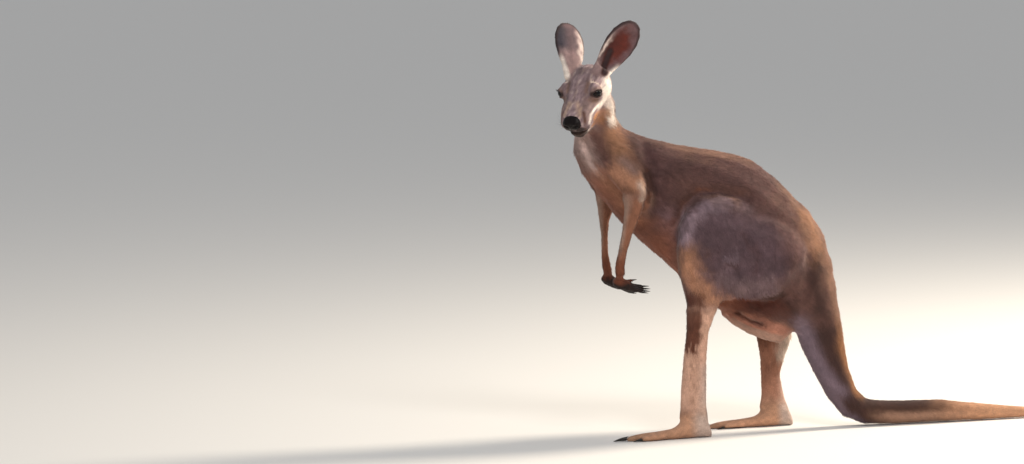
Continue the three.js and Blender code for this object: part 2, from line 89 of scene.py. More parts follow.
floor_mesh = bmesh.new()
bmesh.ops.create_grid(floor_mesh, x_segments=1, y_segments=1, size=60)
floor = linked("floor", bpy.data.meshes.new("floor"))
floor_mesh.to_mesh(floor.data)
floor_mesh.free()
floor_paint, _ = new_finish("floor_paint", {"Base Color": (0.8, 0.785, 0.76, 1), "Roughness": 0.9})
floor.data.materials.append(floor_paint)

surround = bpy.data.worlds.new("surround")
surround.use_nodes = True
background = surround.node_tree.nodes["Background"]
background.inputs["Color"].default_value = (0.95, 0.97, 1.0, 1)
background.inputs["Strength"].default_value = 0.47
bpy.context.scene.world = surround
bpy.context.scene.view_settings.view_transform = "Standard"


def soft_lamp(name, place, aim, size, power, colour):
    lamp = linked(name, bpy.data.lights.new(name, "AREA"))
    lamp.data.shape = "DISK"
    lamp.data.size = size
    lamp.data.energy = power
    lamp.data.color = colour
    lamp.location = place
    lamp.rotation_mode = "QUATERNION"
    lamp.rotation_quaternion = (Vector(place) - Vector(aim)).to_track_quat("Z", "Y")


soft_lamp("key_lamp", place=(0.9, -3.7, 3.9), aim=(0, 0, 0.5), size=1.6, power=100, colour=(1.0, 0.96, 0.9))
soft_lamp("edge_lamp", place=(3.4, 1.1, 3.0), aim=(0, 0, 0.6), size=1.4, power=320, colour=(1.0, 0.88, 0.72))


# ---- skin
# One skin over the whole animal. The flesh is cast in one piece, as a taxidermist's form is, with
# balls in the eye sockets for the lids to close on. It is smoothed, most on the big muscles and
# hardly at all on ears and toes, and lies under the solids by the coat's depth.
SIDES = {"left": 1, "right": -1}
FLESH = ["head", "lower_jaw", "neck", "chest", "abdomen", "rump", "tail_root", "tail_middle", "tail_end",
         "pouch"]
for side in SIDES:
    FLESH += [f"{part}_{side}" for part in ("ear", "thigh", "shank", "foot", "upper_arm", "forearm", "hand")]
SKIN_CELL = 0.0022
JOIN = 0.0006
SEAM = 1e-5
LID_RADIUS = 0.0152
DEEPEST_HOLLOW = 0.02
PLAIN_DEPTH = 0.0065
COAT_DEPTH = dict(head=0.003, lower_jaw=0.001, neck=0.006, ear=0.0004, tail_root=0.006, tail_middle=0.005,
                  tail_end=0.004, pouch=0.003, shank=0.004, foot=0.0018, upper_arm=0.005, forearm=0.003,
                  hand=0.0012)


def part_of(name):
    return name.removesuffix("_left").removesuffix("_right")


def merged_copy(name, grow=0.0):
    """A closed copy of a solid, with every point moved out by this much."""
    copy = bmesh.new()
    copy.from_mesh(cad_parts[name].data)
    bmesh.ops.remove_doubles(copy, verts=copy.verts, dist=SEAM)
    bmesh.ops.recalc_face_normals(copy, faces=copy.faces)
    for vertex in copy.verts:
        vertex.co += vertex.normal * grow
    return copy


def mesh_of(shape, name):
    mesh = bpy.data.meshes.new(name)
    shape.to_mesh(mesh)
    shape.free()
    return mesh


def evaluated(mesh, kind, weights=None, **settings):
    """The mesh that a modifier makes of this one."""
    holder = linked("holder", mesh)
    modifier = holder.modifiers.new("step", kind)
    if weights is not None:
        modifier.vertex_group = holder.vertex_groups.new(name="weights").name
        for level in range(11):
            members = np.nonzero(np.round(weights * 10) == level)[0]
            holder.vertex_groups["weights"].add(members.tolist(), level / 10, "REPLACE")
    for key, value in settings.items():
        setattr(modifier, key, value)
    made = bpy.data.meshes.new_from_object(holder.evaluated_get(bpy.context.evaluated_depsgraph_get()))
    bpy.data.objects.remove(holder)
    return made


def points_of(mesh):
    flat = np.zeros(len(mesh.vertices) * 3)
    mesh.vertices.foreach_get("co", flat)
    return flat.reshape(-1, 3)


def normals_of(mesh):
    flat = np.zeros(len(mesh.vertices) * 3, np.float32)
    mesh.vertex_normals.foreach_get("vector", flat)
    return flat.reshape(-1, 3).astype(float)


def links_of(mesh):
    flat = np.zeros(len(mesh.edges) * 2, np.int64)
    mesh.edges.foreach_get("vertices", flat)
    return flat.reshape(-1, 2)


def place_points(mesh, places):
    mesh.vertices.foreach_set("co", places.ravel())
    mesh.update()


def relax(values, links, rounds, pull=0.5):
    """Draws each value towards the mean of its neighbours, each by its own pull."""
    count = len(values)
    degree = np.bincount(links.ravel(), minlength=count)[:, None]
    for _ in range(rounds):
        total = np.empty_like(values)
        for k in range(values.shape[1]):
            column = values[:, k]
            total[:, k] = (np.bincount(links[:, 0], column[links[:, 1]], count)
                           + np.bincount(links[:, 1], column[links[:, 0]], count))
        values = values + pull * (total / degree - values)
    return values


def softened(values, rounds):
    """One value for each point, blurred along the skin."""
    return relax(values[:, None], links, rounds)[:, 0]


eye_centres = {side: np.mean([v.co for v in merged_copy(f"eye_{side}").verts], axis=0) for side in SIDES}
form = bmesh.new()
label_points, label_faces, label_names = [], [], []
for name in FLESH:
    piece = merged_copy(name, JOIN)
    first = len(label_points)
    label_points += [vertex.co.copy() for vertex in piece.verts]
    label_faces += [[first + vertex.index for vertex in face.verts] for face in piece.faces]
    label_names += [FLESH.index(name)] * len(piece.faces)
    form.from_mesh(mesh_of(piece, name + "_cast"))
for side in SIDES:
    bmesh.ops.create_icosphere(form, subdivisions=3, radius=LID_RADIUS,
                               matrix=Matrix.Translation(eye_centres[side]))
form.from_mesh(mesh_of(merged_copy("nose_pad", JOIN), "nose_cast"))
cast = evaluated(mesh_of(form, "form"), "REMESH", mode="VOXEL", voxel_size=SKIN_CELL)
label_tree = BVHTree.FromPolygons(label_points, label_faces)
label_names = np.array(label_names)


def labels_at(places):
    return label_names[[label_tree.find_nearest(place)[2] for place in places]]


def per_label(labels, default, **values):
    """A value for each point by the part of the body that it is on."""
    table = np.full(len(FLESH), default, float)
    for index, name in enumerate(FLESH):
        table[index] = values.get(part_of(name), default)
    return table[labels]


links = links_of(cast)
cast_places = points_of(cast)
labels = labels_at(cast_places)
pull = per_label(labels, 0.5, head=0.07, lower_jaw=0.07, ear=0.012, hand=0.02, foot=0.03, shank=0.2,
                 forearm=0.2, upper_arm=0.35, tail_end=0.2, tail_middle=0.4)[:, None]
pull = relax(pull, links, rounds=25)
places = relax(cast_places, links, rounds=150, pull=pull)
place_points(cast, places)
cast_tree = BVHTree.FromPolygons(cast_places.tolist(), [p.vertices[:] for p in cast.polygons])
normals = normals_of(cast)
sunk = np.array([(Vector(p) - cast_tree.find_nearest(p)[0]).dot(Vector(n)) for p, n in zip(places, normals)])
sunk = relax(-np.clip(sunk, -DEEPEST_HOLLOW, 0.004)[:, None], links, rounds=60)
depth = relax(per_label(labels, PLAIN_DEPTH, **COAT_DEPTH)[:, None], links, rounds=20)
places = places + normals * (sunk - depth)
place_points(cast, places)


# ---- face
# The face is turned to the animal's left and the muzzle points down. Lids close on the eyes as
# almonds with a dark inner corner, a brow overhangs them, the lips meet in a long line under the
# nose, and the whisker pads swell beside it.
HEAD_TURN = math.radians(61)
HEAD_NOD = math.radians(40)
EYE_AHEAD = 0.002
OPENING_HALF = 0.0142
UPPER_LID = 0.0088
LOWER_LID = 0.008
LID_CURVE = 1.8
SUNKEN_BALL = 0.0112
LID_INSIDE = 0.0149
forward = np.array([-math.cos(HEAD_TURN) * math.cos(HEAD_NOD), -math.sin(HEAD_TURN) * math.cos(HEAD_NOD),
                    -math.sin(HEAD_NOD)])
leftward = np.array([math.sin(HEAD_TURN), -math.cos(HEAD_TURN), 0.0])
head_axes = np.stack([forward, leftward, np.cross(forward, leftward)])
head_middle = (eye_centres["left"] + eye_centres["right"]) / 2 - forward * EYE_AHEAD


def unit(vectors):
    return vectors / np.maximum(norm(vectors, axis=-1, keepdims=True), 1e-9)


def ease(low, high, values):
    """A soft step from 0 at the low value to 1 at the high one."""
    share = np.clip((values - low) / (high - low), 0, 1)
    return share * share * (3 - 2 * share)


def in_head(places):
    """Places in the head's own frame: along the muzzle, to its left, and up its crown."""
    return (places - head_middle) @ head_axes.T


def bell(values, middle, width):
    """1 at the middle value, and falling off to both sides of it."""
    return np.exp(-(((values - middle) / width) ** 2))


def lid_frame(hand):
    """Outward from the eye, along the lids to the inner corner, and across them to the brow."""
    outward = unit(np.array([0.42, 0.88 * hand, 0.16]))
    along = np.array([0.8, 0.0, 0.42])
    along = unit(along - outward * (along @ outward))
    across = np.cross(outward, along)
    return outward, along, across * np.sign(across[2])


def between_lids(local, hand):
    """Below 1 inside the almond between the lids, and above 1 outside it."""
    outward, along, across = lid_frame(hand)
    height = local @ across
    u = local @ along / OPENING_HALF
    v = height / np.where(height > 0, UPPER_LID, LOWER_LID)
    inside = np.abs(u) ** LID_CURVE + np.abs(v) ** LID_CURVE
    return np.where(local @ outward > 0, inside, 20.0)


def shaped_face(places, normals):
    """The form's face with its bones, muscles, lips and lids carved a few millimetres up or down."""
    local = in_head(places)
    x, y, z = local.T
    out = np.abs(y)
    facing = normals @ head_axes.T
    # the socket's rim, the brow, the whisker pad, the tear groove, the cheek bone, the hollow under it
    # and the jaw's muscle
    swell = 0.0045 * bell(x, -0.004, 0.024) * bell(z, 0.002, 0.02) * ease(0.022, 0.04, out)
    swell += 0.0025 * bell(x, 0.000, 0.016) * bell(out, 0.041, 0.01) * bell(z, 0.017, 0.007)
    swell += 0.0035 * bell(x, 0.043, 0.022) * bell(z, -0.028, 0.018) * ease(0.018, 0.03, out)
    swell -= 0.002 * bell(x, 0.024, 0.008) * bell(out, 0.036, 0.009) * bell(z, -0.004, 0.01)
    swell += 0.002 * bell(x, -0.012, 0.026) * bell(z, -0.024, 0.008) * ease(0.03, 0.045, out)
    swell -= 0.0015 * bell(x, 0.01, 0.02) * bell(z, -0.042, 0.01) * ease(0.02, 0.035, out)
    swell += 0.005 * bell(x, -0.05, 0.03) * bell(z, -0.015, 0.034) * ease(0.03, 0.045, out)
    cleft = bell(y, 0, 0.0022) * ease(0.074, 0.082, x) * ease(-0.06, -0.054, z)
    swell -= 0.003 * cleft * ease(-0.034, -0.042, z)
    lip_line = -0.058 + 0.0035 * ease(0.085, 0.034, x)
    lips = ease(0.025, 0.036, x)
    swell -= 0.0042 * bell(z, lip_line, 0.0018) * lips
    swell += 0.0012 * (bell(z, lip_line + 0.0055, 0.003) + bell(z, lip_line - 0.0055, 0.003)) * lips
    local = local + facing * swell[:, None]
    pad = 0.003 * np.sign(y) * bell(x, 0.07, 0.015) * bell(z, -0.044, 0.012)
    local[:, 1] += pad * ease(0.01, 0.026, out)
    under_nose = np.hypot(local[:, 1] / 0.0245, (local[:, 2] + 0.03) / 0.0175)
    local[:, 0] -= 0.0075 * ease(1.0, 0.72, under_nose) * ease(0.066, 0.074, local[:, 0])
    for side, hand in SIDES.items():
        centre = in_head(eye_centres[side])
        spoke = local - centre
        inside = between_lids(spoke, hand)
        radius = norm(spoke, axis=1)
        lid = np.maximum(radius, LID_INSIDE) + 0.0008 * bell(inside, 1.35, 0.35)
        wanted = SUNKEN_BALL + (lid - SUNKEN_BALL) * ease(0.86, 1.12, inside)
        share = ease(0.027, 0.02, radius) * ease(6.0, 2.0, inside)
        wanted = radius + (wanted - radius) * share
        local = centre + spoke * (wanted / np.maximum(radius, 1e-6))[:, None]
    return local @ head_axes + head_middle


SKULL_MIDDLE = np.array([0.0, 0.0, -0.025])
SKULL_REACH = 0.125
on_head = norm(in_head(places) - SKULL_MIDDLE, axis=1) < SKULL_REACH
places = np.where(on_head[:, None], shaped_face(places, normals_of(cast)), places)
place_points(cast, places)


# ---- muscles
# What lies under the hide of a lean animal: the rounded front of the haunch with a groove over it,
# the shelf of long fur and the fold below, the shoulder blade, the point of the elbow, and the slit of
# the pouch. The furrow before the tail and the ankles are then smoothed.
def near_line(places, *stops):
    """Distance to the line through these stops."""
    best = np.full(len(places), 9.0)
    for start, end in zip(stops[:-1], stops[1:]):
        start, end = np.array(start), np.array(end)
        share = np.clip((places - start) @ (end - start) / max((end - start) @ (end - start), 1e-9), 0, 1)
        best = np.minimum(best, norm(places - start - share[:, None] * (end - start), axis=1))
    return best


def side_line(places, *stops):
    """Distance to the line through these stops, given as (x, z), as they lie seen from the side."""
    return near_line(places, *[(x, 0, z) for x, z in stops])


def member(*parts):
    """How far each point belongs to these parts of the body, softened at their borders."""
    chosen = [index for index, name in enumerate(FLESH) if name.startswith(parts)]
    return softened(np.isin(labels, chosen).astype(float), 14)


WAVES = 9


def ripple(places, size, seed):
    """A smooth unevenness between -1 and 1, with lumps of about this size."""
    draw = np.random.default_rng(seed)
    total = np.zeros(len(places))
    for _ in range(WAVES):
        wave = unit(draw.normal(size=3)) * 2 * math.pi / (size * draw.uniform(0.9, 2.4))
        total += np.sin(places @ wave + draw.uniform(0, 2 * math.pi))
    return np.clip(total / 3.6, -1, 1)


def seen_from(side, places):
    """Places seen from one side. The right knee is further back, and is drawn out to match the left."""
    flat = places * np.array([1, 0, 1])
    if side == "right":
        flat[:, 0] *= np.clip(1.36 + 24 * (places[:, 2] - 0.44) ** 2, 1.36, 1.9)
    return flat


# Each form: how far it stands out of the flesh, how wide it is, and its line seen from the side.
HIND_FORMS = {
    "groove over the haunch": (-0.012, 0.013, (-0.338, 0.535), (-0.318, 0.58), (-0.285, 0.611),
        (-0.24, 0.616), (-0.17, 0.6)),
    "rounded front of the haunch": (0.012, 0.016, (-0.318, 0.53), (-0.298, 0.563), (-0.262, 0.583),
        (-0.2, 0.577)),
    "front edge of the thigh": (0.004, 0.02, (-0.322, 0.52), (-0.318, 0.43)),
    "wide hollow": (-0.005, 0.034, (-0.235, 0.47), (-0.19, 0.44)),
    "dimple": (-0.006, 0.009, (-0.212, 0.43), (-0.197, 0.424)),
    "short crease": (-0.0045, 0.014, (-0.276, 0.455), (-0.238, 0.462)),
    "long crease": (-0.0045, 0.012, (-0.17, 0.505), (-0.14, 0.455), (-0.15, 0.415)),
    "shelf of long fur": (0.009, 0.017, (-0.205, 0.388), (-0.15, 0.368), (-0.105, 0.372),
        (-0.075, 0.4)),
    "fold under the shelf": (-0.01, 0.01, (-0.195, 0.342), (-0.15, 0.327), (-0.1, 0.327),
        (-0.062, 0.345)),
    "furrow before the tail": (-0.006, 0.012, (-0.03, 0.35), (-0.012, 0.4), (-0.01, 0.44)),
}
FORE_FORMS = {
    "point of the elbow": (0.0075, 0.012, (-0.424, 0.636), (-0.42, 0.608)),
    "hollow behind the elbow": (-0.014, 0.01, (-0.406, 0.664), (-0.397, 0.622), (-0.404, 0.585)),
    "shoulder blade": (0.005, 0.022, (-0.47, 0.735), (-0.44, 0.7), (-0.425, 0.66)),
    "hollow behind the blade": (-0.006, 0.013, (-0.425, 0.765), (-0.408, 0.715), (-0.398, 0.68)),
    "upper arm": (0.004, 0.016, (-0.52, 0.7), (-0.47, 0.645), (-0.44, 0.632)),
    "furrow under the shoulder": (-0.004, 0.01, (-0.505, 0.665), (-0.47, 0.622)),
    "furrow of the breast": (-0.005, 0.008, (-0.56, 0.745), (-0.545, 0.7), (-0.52, 0.665)),
}
LEFT_ALONE = ["furrow of the breast"]
RIGHT_RELIEF = 0.4
SLIT = ((-0.194, 0.305), (-0.16, 0.283), (-0.131, 0.272))
MUSCLED = ("thigh", "rump", "abdomen", "chest", "neck")
normals = normals_of(cast)
flat = places * np.array([1, 0, 1])
rise = np.zeros(len(places))
hind = member("thigh", "rump", "abdomen", "pouch", "shank")
fore = member("upper_arm", "forearm", "chest", "neck")
for side, hand in SIDES.items():
    on_side = ease(0.012, 0.035, -hand * places[:, 1])
    relief = 1 if side == "left" else RIGHT_RELIEF
    for forms, share, seen in ((HIND_FORMS, hind, seen_from(side, places)), (FORE_FORMS, fore, flat)):
        for name, (height, width, *stops) in forms.items():
            if side == "left" or name not in LEFT_ALONE:
                rise = rise + share * on_side * relief * height * bell(side_line(seen, *stops), 0, width)
slit = side_line(flat, *SLIT) + 0.5 * (places[:, 1] > 0)
rise = rise - 0.006 * bell(slit, 0, 0.0045) + 0.0025 * bell(slit, 0.01, 0.006)
rise = softened(rise, 6)
rise = rise + member(*MUSCLED) * 0.0016 * ripple(places, size=0.055, seed=21)
places = places + normals * rise[:, None]
parting = side_line(flat, (-0.06, 0.54), (-0.035, 0.46), (-0.045, 0.39))
parting = bell(parting, 0, 0.03) * ease(0.01, -0.02, places[:, 1]) * hind
places = relax(places, links, rounds=60, pull=0.5 * parting[:, None])
ankle = member("shank", "foot") * bell(places[:, 2], 0.048, 0.026)
places = relax(places, links, rounds=70, pull=0.5 * ankle[:, None])
place_points(cast, places)


# ---- hide
# The finished skin: thinned where it is plain, and coloured with the animal's markings and with painted light
# and shade, which its coat carries too. They are soft patches laid one over another from the grey-brown of
# the flank.
SKIN_SHARE = 0.285
HIDE_PAINTS = dict(
    grey_brown=(98, 68, 62), ochre_and_rim_light=(136, 100, 80), belly_rust=(154, 97, 76), speckled=(166, 120, 90),
    chest_pale=(214, 184, 176), chest_rust=(104, 58, 42), inner_arm=(186, 130, 102),
    shoulder_grey=(128, 108, 108), flank_shade=(82, 56, 56), neck_shade=(106, 76, 68), haunch=(95, 74, 80),
    haunch_front_and_highlight=(150, 128, 138), knee_ochre=(190, 136, 104), fold_rust_and_shade=(88, 44, 32),
    fluff=(128, 104, 106), tail_blue=(130, 111, 123), tail_brown_and_shade=(66, 44, 40), tail_rust=(142, 94, 58),
    tail_low=(74, 48, 38), tail_sand=(204, 152, 118), elbow_pale=(224, 206, 192),
    elbow_rust=(182, 130, 102), elbow_shade=(96, 60, 42), arm_brown=(146, 98, 76),
    arm_grey=(176, 150, 136), wrist_dark=(112, 60, 40), hand_dark=(36, 22, 18),
    pouch_pink=(190, 130, 108), slit_shade=(66, 34, 26), shin_dark=(86, 43, 28),
    shank_sand=(208, 164, 142), shank_stripe=(160, 122, 102), foot_sand=(184, 138, 110),
    heel_white=(178, 158, 148), toe_dark=(150, 118, 96), far_shin=(104, 66, 50), far_shank=(150, 100, 78),
    calf_white=(226, 204, 186), forehead=(144, 122, 125), crown_dark=(104, 82, 80),
    muzzle_grey=(136, 112, 108), muzzle_ochre=(196, 162, 132), eye_dark=(52, 36, 34),
    eye_brown=(120, 92, 80), brow_pale=(228, 206, 188), stripe_white=(242, 226, 216),
    cheek_pale=(240, 226, 214), jaw_ochre_and_bounce_light=(176, 116, 68), lip_dark_and_shade=(44, 30, 27), bar_dark=(84, 50, 38),
    throat=(190, 164, 148), ear_red=(92, 38, 29), ear_grey=(104, 80, 82), rim_dark=(46, 32, 34),
    ear_blue=(50, 44, 54), ear_white=(206, 188, 180), ear_base=(138, 114, 113), hollow_shade=(64, 40, 34),
    face_dark=(88, 66, 66), belly_mauve=(130, 98, 100), ear_hollow_shade=(58, 22, 17), chin_shade=(52, 34, 24),
    tail_side=(178, 138, 116), nape_rim_light=(214, 190, 172))


def hide_paint(name):
    """The paint as linear light."""
    values = np.array(HIDE_PAINTS[name]) / 255
    return np.where(values < 0.04045, values / 12.92, ((values + 0.055) / 1.055) ** 2.4)


loose = per_label(labels, 1.0, head=0.0, lower_jaw=0.0, ear=0.1, hand=0.0, foot=0.4)
loose = softened(loose, 10)
skin_mesh = evaluated(cast, "DECIMATE", weights=loose, ratio=SKIN_SHARE, use_collapse_triangulate=True)
skin_mesh.name = "skin"
skin = linked("skin", skin_mesh)
skin_mesh.shade_smooth()
places = points_of(skin_mesh)
normals = normals_of(skin_mesh)
labels = labels_at(places)
links = links_of(skin_mesh)
near_side = ease(-0.01, -0.04, places[:, 1])
far_side = 1 - near_side
x, _, z = places.T
tailward, _, upward = normals.T
flat = places * np.array([1, 0, 1])
rough = ripple(places, size=0.04, seed=1)
fine = ripple(places * np.array([1.6, 1.6, 0.7]), size=0.012, seed=2)
colours = np.tile(hide_paint("grey_brown"), (len(places), 1))


def lay(name, share):
    """Lays a paint over the others, by its share at each point."""
    global colours
    share = np.clip(share, 0, 1)[:, None]
    colours = colours + share * (hide_paint(name) - colours)


def patch(name, share, strength, size, soft, *stops):
    """A soft patch of this half width, along the line through these stops seen from the side."""
    span = side_line(flat, *stops) + 0.2 * soft * fine
    lay(name, share * strength * ease(size + soft, size - soft, span))


# back, flank, shoulder, chest and belly
trunk = member("neck", "chest", "abdomen", "rump")
breast = member("neck", "chest")
front_trunk = member("neck", "chest", "upper_arm")
rising = upward + 0.05 * rough
# painted shade over the upper flank, where the skin faces half up
lay("flank_shade", trunk * bell(rising, 0.62, 0.3) * 0.6)
# ochre on the back and on the rear of rump, thighs and tail's root, laid by how the skin faces: part the
# coat's own ochre, part painted rim light along the top and the rear edges
lay("ochre_and_rim_light", trunk * ease(0.7, 1.05, rising) * 0.6)
lay("ochre_and_rim_light", member("rump", "thigh", "tail_root") * ease(0.35, 0.95, tailward + 0.1 * rough) * 0.7)
# painted shade down the flank behind the shoulder and the arm
patch("flank_shade", trunk, 0.8, 0.03, 0.04, (-0.4, 0.73), (-0.38, 0.64), (-0.37, 0.56))
patch("speckled", front_trunk, 0.8, 0.022, 0.022, (-0.49, 0.765), (-0.47, 0.72), (-0.462, 0.68),
      (-0.44, 0.655))
patch("shoulder_grey", front_trunk, 0.7, 0.01, 0.016, (-0.466, 0.7), (-0.44, 0.672))
patch("chest_pale", breast, 0.95, 0.016, 0.022, (-0.575, 0.765), (-0.56, 0.72), (-0.548, 0.69),
      (-0.532, 0.662))
# painted shade on the neck under the jaw
patch("neck_shade", breast, 0.8, 0.007, 0.013, (-0.524, 0.785), (-0.518, 0.74), (-0.5, 0.7))
# painted shade in the hollow behind the shoulder
patch("hollow_shade", front_trunk, 0.75, 0.008, 0.018, (-0.442, 0.748), (-0.422, 0.7), (-0.404, 0.655))
# a thin painted rim light along the top of the nape
patch("nape_rim_light", breast, 0.7, 0.003, 0.01, (-0.492, 0.816), (-0.462, 0.787), (-0.405, 0.768))
patch("belly_mauve", trunk, 0.8, 0.018, 0.026, (-0.362, 0.56), (-0.35, 0.5), (-0.33, 0.455))
patch("inner_arm", member("chest", "upper_arm"), 0.85, 0.022, 0.022, (-0.52, 0.655), (-0.475, 0.6),
      (-0.44, 0.55))
patch("chest_rust", member("chest"), 0.85, 0.006, 0.012, (-0.585, 0.662), (-0.545, 0.628), (-0.505, 0.57))
lay("belly_rust", member("abdomen") * ease(0.56, 0.47, z + 0.008 * rough) * 0.85)
lay("belly_rust", member("abdomen", "chest") * ease(-0.1, -0.6, upward) * 0.7)

# haunch, knee and the fold under it
RIGHT_MARKINGS = 0.7
haunch_share = softened(member("thigh"), 12)
waves = [ripple(places, size=0.03, seed=31), 0 * x, ripple(places, size=0.03, seed=32)]
for side, share in (("left", near_side), ("right", far_side)):
    hind = member("thigh", "rump", "abdomen") * share * (1 if side == "left" else RIGHT_MARKINGS)
    thigh = haunch_share * share
    fold = member("thigh", "rump", "abdomen", "pouch") * share
    flat = seen_from(side, places)
    flat = flat + 0.007 * np.stack(waves, axis=1)
    lay("haunch", thigh * 0.9)
    patch("haunch", hind, 0.8, 0.07, 0.04, (-0.23, 0.5), (-0.12, 0.44))
    # the lilac front of the haunch, lightened along its ridge as painted highlight
    patch("haunch_front_and_highlight", hind, 0.95, 0.012, 0.02, (-0.318, 0.505), (-0.3, 0.552), (-0.262, 0.58),
          (-0.225, 0.58))
    patch("fluff", hind, 0.8, 0.008, 0.01, (-0.24, 0.586), (-0.19, 0.578), (-0.16, 0.566))
    patch("knee_ochre", thigh, 0.85, 0.026, 0.03, (-0.316, 0.455), (-0.3, 0.4), (-0.262, 0.35))
    patch("knee_ochre", thigh, 0.6, 0.006, 0.02, (-0.262, 0.35), (-0.215, 0.352))
    # painted shade behind the haunch
    patch("flank_shade", hind, 0.5, 0.02, 0.03, (-0.085, 0.53), (-0.072, 0.46))
    # painted shade in the dimple of the haunch, with a painted highlight over it
    patch("hollow_shade", hind, 0.75, 0.004, 0.012, (-0.214, 0.432), (-0.195, 0.424))
    patch("haunch_front_and_highlight", hind, 0.5, 0.006, 0.012, (-0.222, 0.452), (-0.196, 0.444))
    # painted shade in the short and the long crease of the haunch
    patch("flank_shade", hind, 0.5, 0.006, 0.02, (-0.276, 0.455), (-0.238, 0.462))
    patch("flank_shade", hind, 0.65, 0.006, 0.016, (-0.17, 0.505), (-0.14, 0.455), (-0.15, 0.415))
    patch("fold_rust_and_shade", thigh, 0.6, 0.003, 0.008, (-0.306, 0.418), (-0.3, 0.39))
    patch("fluff", hind * (0.7 + 0.4 * rough), 0.9, 0.018, 0.02, (-0.215, 0.395), (-0.15, 0.375),
          (-0.105, 0.38))
    # painted shade in the fold under the shelf of long fur, over its rusty underside, darkest at its rear
    patch("fold_rust_and_shade", fold, 0.95, 0.01, 0.012, (-0.19, 0.338), (-0.13, 0.326), (-0.085, 0.334))
    patch("fold_rust_and_shade", fold, 0.7, 0.016, 0.018, (-0.2, 0.318), (-0.14, 0.303), (-0.08, 0.31))
    patch("hollow_shade", fold, 0.8, 0.004, 0.01, (-0.12, 0.345), (-0.08, 0.345))
    patch("grey_brown", hind, 0.8, 0.02, 0.028, (-0.062, 0.53), (-0.04, 0.46), (-0.045, 0.4),
          (-0.075, 0.365))
    patch("speckled", hind, 0.8, 0.012, 0.024, (-0.022, 0.56), (0.004, 0.495), (0.012, 0.43))
    # painted shade under the rear of the haunch and down the gap before the tail's root
    patch("hollow_shade", member("thigh", "rump", "tail_root", "pouch") * share, 0.85, 0.008, 0.016,
          (-0.086, 0.352), (-0.064, 0.318), (-0.054, 0.292))
    patch("tail_brown_and_shade", member("rump", "tail_root") * share, 0.95, 0.02, 0.02, (-0.002, 0.43),
          (0.004, 0.36), (0.02, 0.3))
flat = places * np.array([1, 0, 1])

# tail: bluish grey in front, dark brown on its side, rusty behind, sandy where it lies on the ground
tail = member("tail")
lay("tail_brown_and_shade", tail * 0.95)
upper_tail = member("tail_root", "tail_middle")
lay("tail_blue", upper_tail * ease(-0.15, -0.75, tailward + 0.5 * upward + 0.1 * rough) * 0.8)
front_edge = side_line(flat, (-0.036, 0.272), (-0.022, 0.235), (0.012, 0.155), (0.06, 0.1))
lay("tail_blue", member("rump", "tail_root", "tail_middle") * bell(front_edge, 0, 0.022) * 0.9)
patch("tail_brown_and_shade", tail, 0.95, 0.014, 0.016, (0.016, 0.32), (0.024, 0.275), (0.05, 0.185), (0.078, 0.125))
lay("tail_rust", upper_tail * ease(0.35, 0.9, tailward + 0.15 * rough) * 0.85)
lay("tail_low", tail * ease(0.1, 0.17, x) * 0.8)
lay("tail_side", tail * ease(0.11, 0.2, x) * ease(0.45, -0.25, upward) * 0.85)
lay("tail_brown_and_shade", tail * ease(0.09, 0.13, x) * ease(0.36, 0.26, x) * ease(0.45, 0.85, upward) * 0.9)
lay("tail_sand", tail * ease(0.26, 0.42, x + 0.02 * rough) * 0.85)

# pouch
pouch = member("pouch")
lay("pouch_pink", pouch * 0.9)
lay("arm_grey", pouch * ease(-0.35, -0.8, upward) * 0.6)
slit = side_line(flat + 0.002 * fine[:, None], *SLIT) + 0.5 * far_side
# rust with painted shade round the pouch's slit, and painted shade in the slit itself
lay("fold_rust_and_shade", np.maximum(pouch, haunch_share) * bell(slit, 0, 0.02) * 0.4)
lay("slit_shade", bell(slit, 0, 0.0048) * 0.85)

# arms
upper_arm = member("upper_arm")
forearm = member("forearm")
arms = np.maximum(upper_arm, forearm)
lay("arm_brown", forearm * 0.95)
lay("arm_grey", forearm * ease(0.0, 0.7, -tailward + 0.2 * rough) * ease(0.44, 0.5, z) * 0.6)
patch("elbow_rust", np.maximum(upper_arm, member("chest") * 0.7), 0.85, 0.014, 0.018, (-0.49, 0.672),
      (-0.45, 0.645), (-0.425, 0.628))
# painted shade under the upper arm's fluffy fur
patch("elbow_shade", np.maximum(front_trunk, arms), 0.75, 0.003, 0.008, (-0.462, 0.628), (-0.44, 0.622))
patch("elbow_pale", arms, 0.75, 0.004, 0.01, (-0.426, 0.642), (-0.418, 0.622), (-0.42, 0.604))
# painted shade in the hollow behind the elbow
patch("hollow_shade", np.maximum(front_trunk, arms), 0.9, 0.004, 0.008, (-0.41, 0.66), (-0.399, 0.622),
      (-0.404, 0.592))
lay("wrist_dark", forearm * ease(0.48, 0.43, z + 0.008 * fine) * 0.8)
lay("wrist_dark", member("hand"))
over_wrist = near_side * (z - 0.394) + far_side * (z - 0.397)
lay("hand_dark", member("hand") * ease(0.01, -0.012, over_wrist + 0.004 * fine))

# shanks and feet
shank = member("shank")
foot = member("foot")
near_shank, far_shank = shank * near_side, shank * far_side
lay("shank_sand", shank)
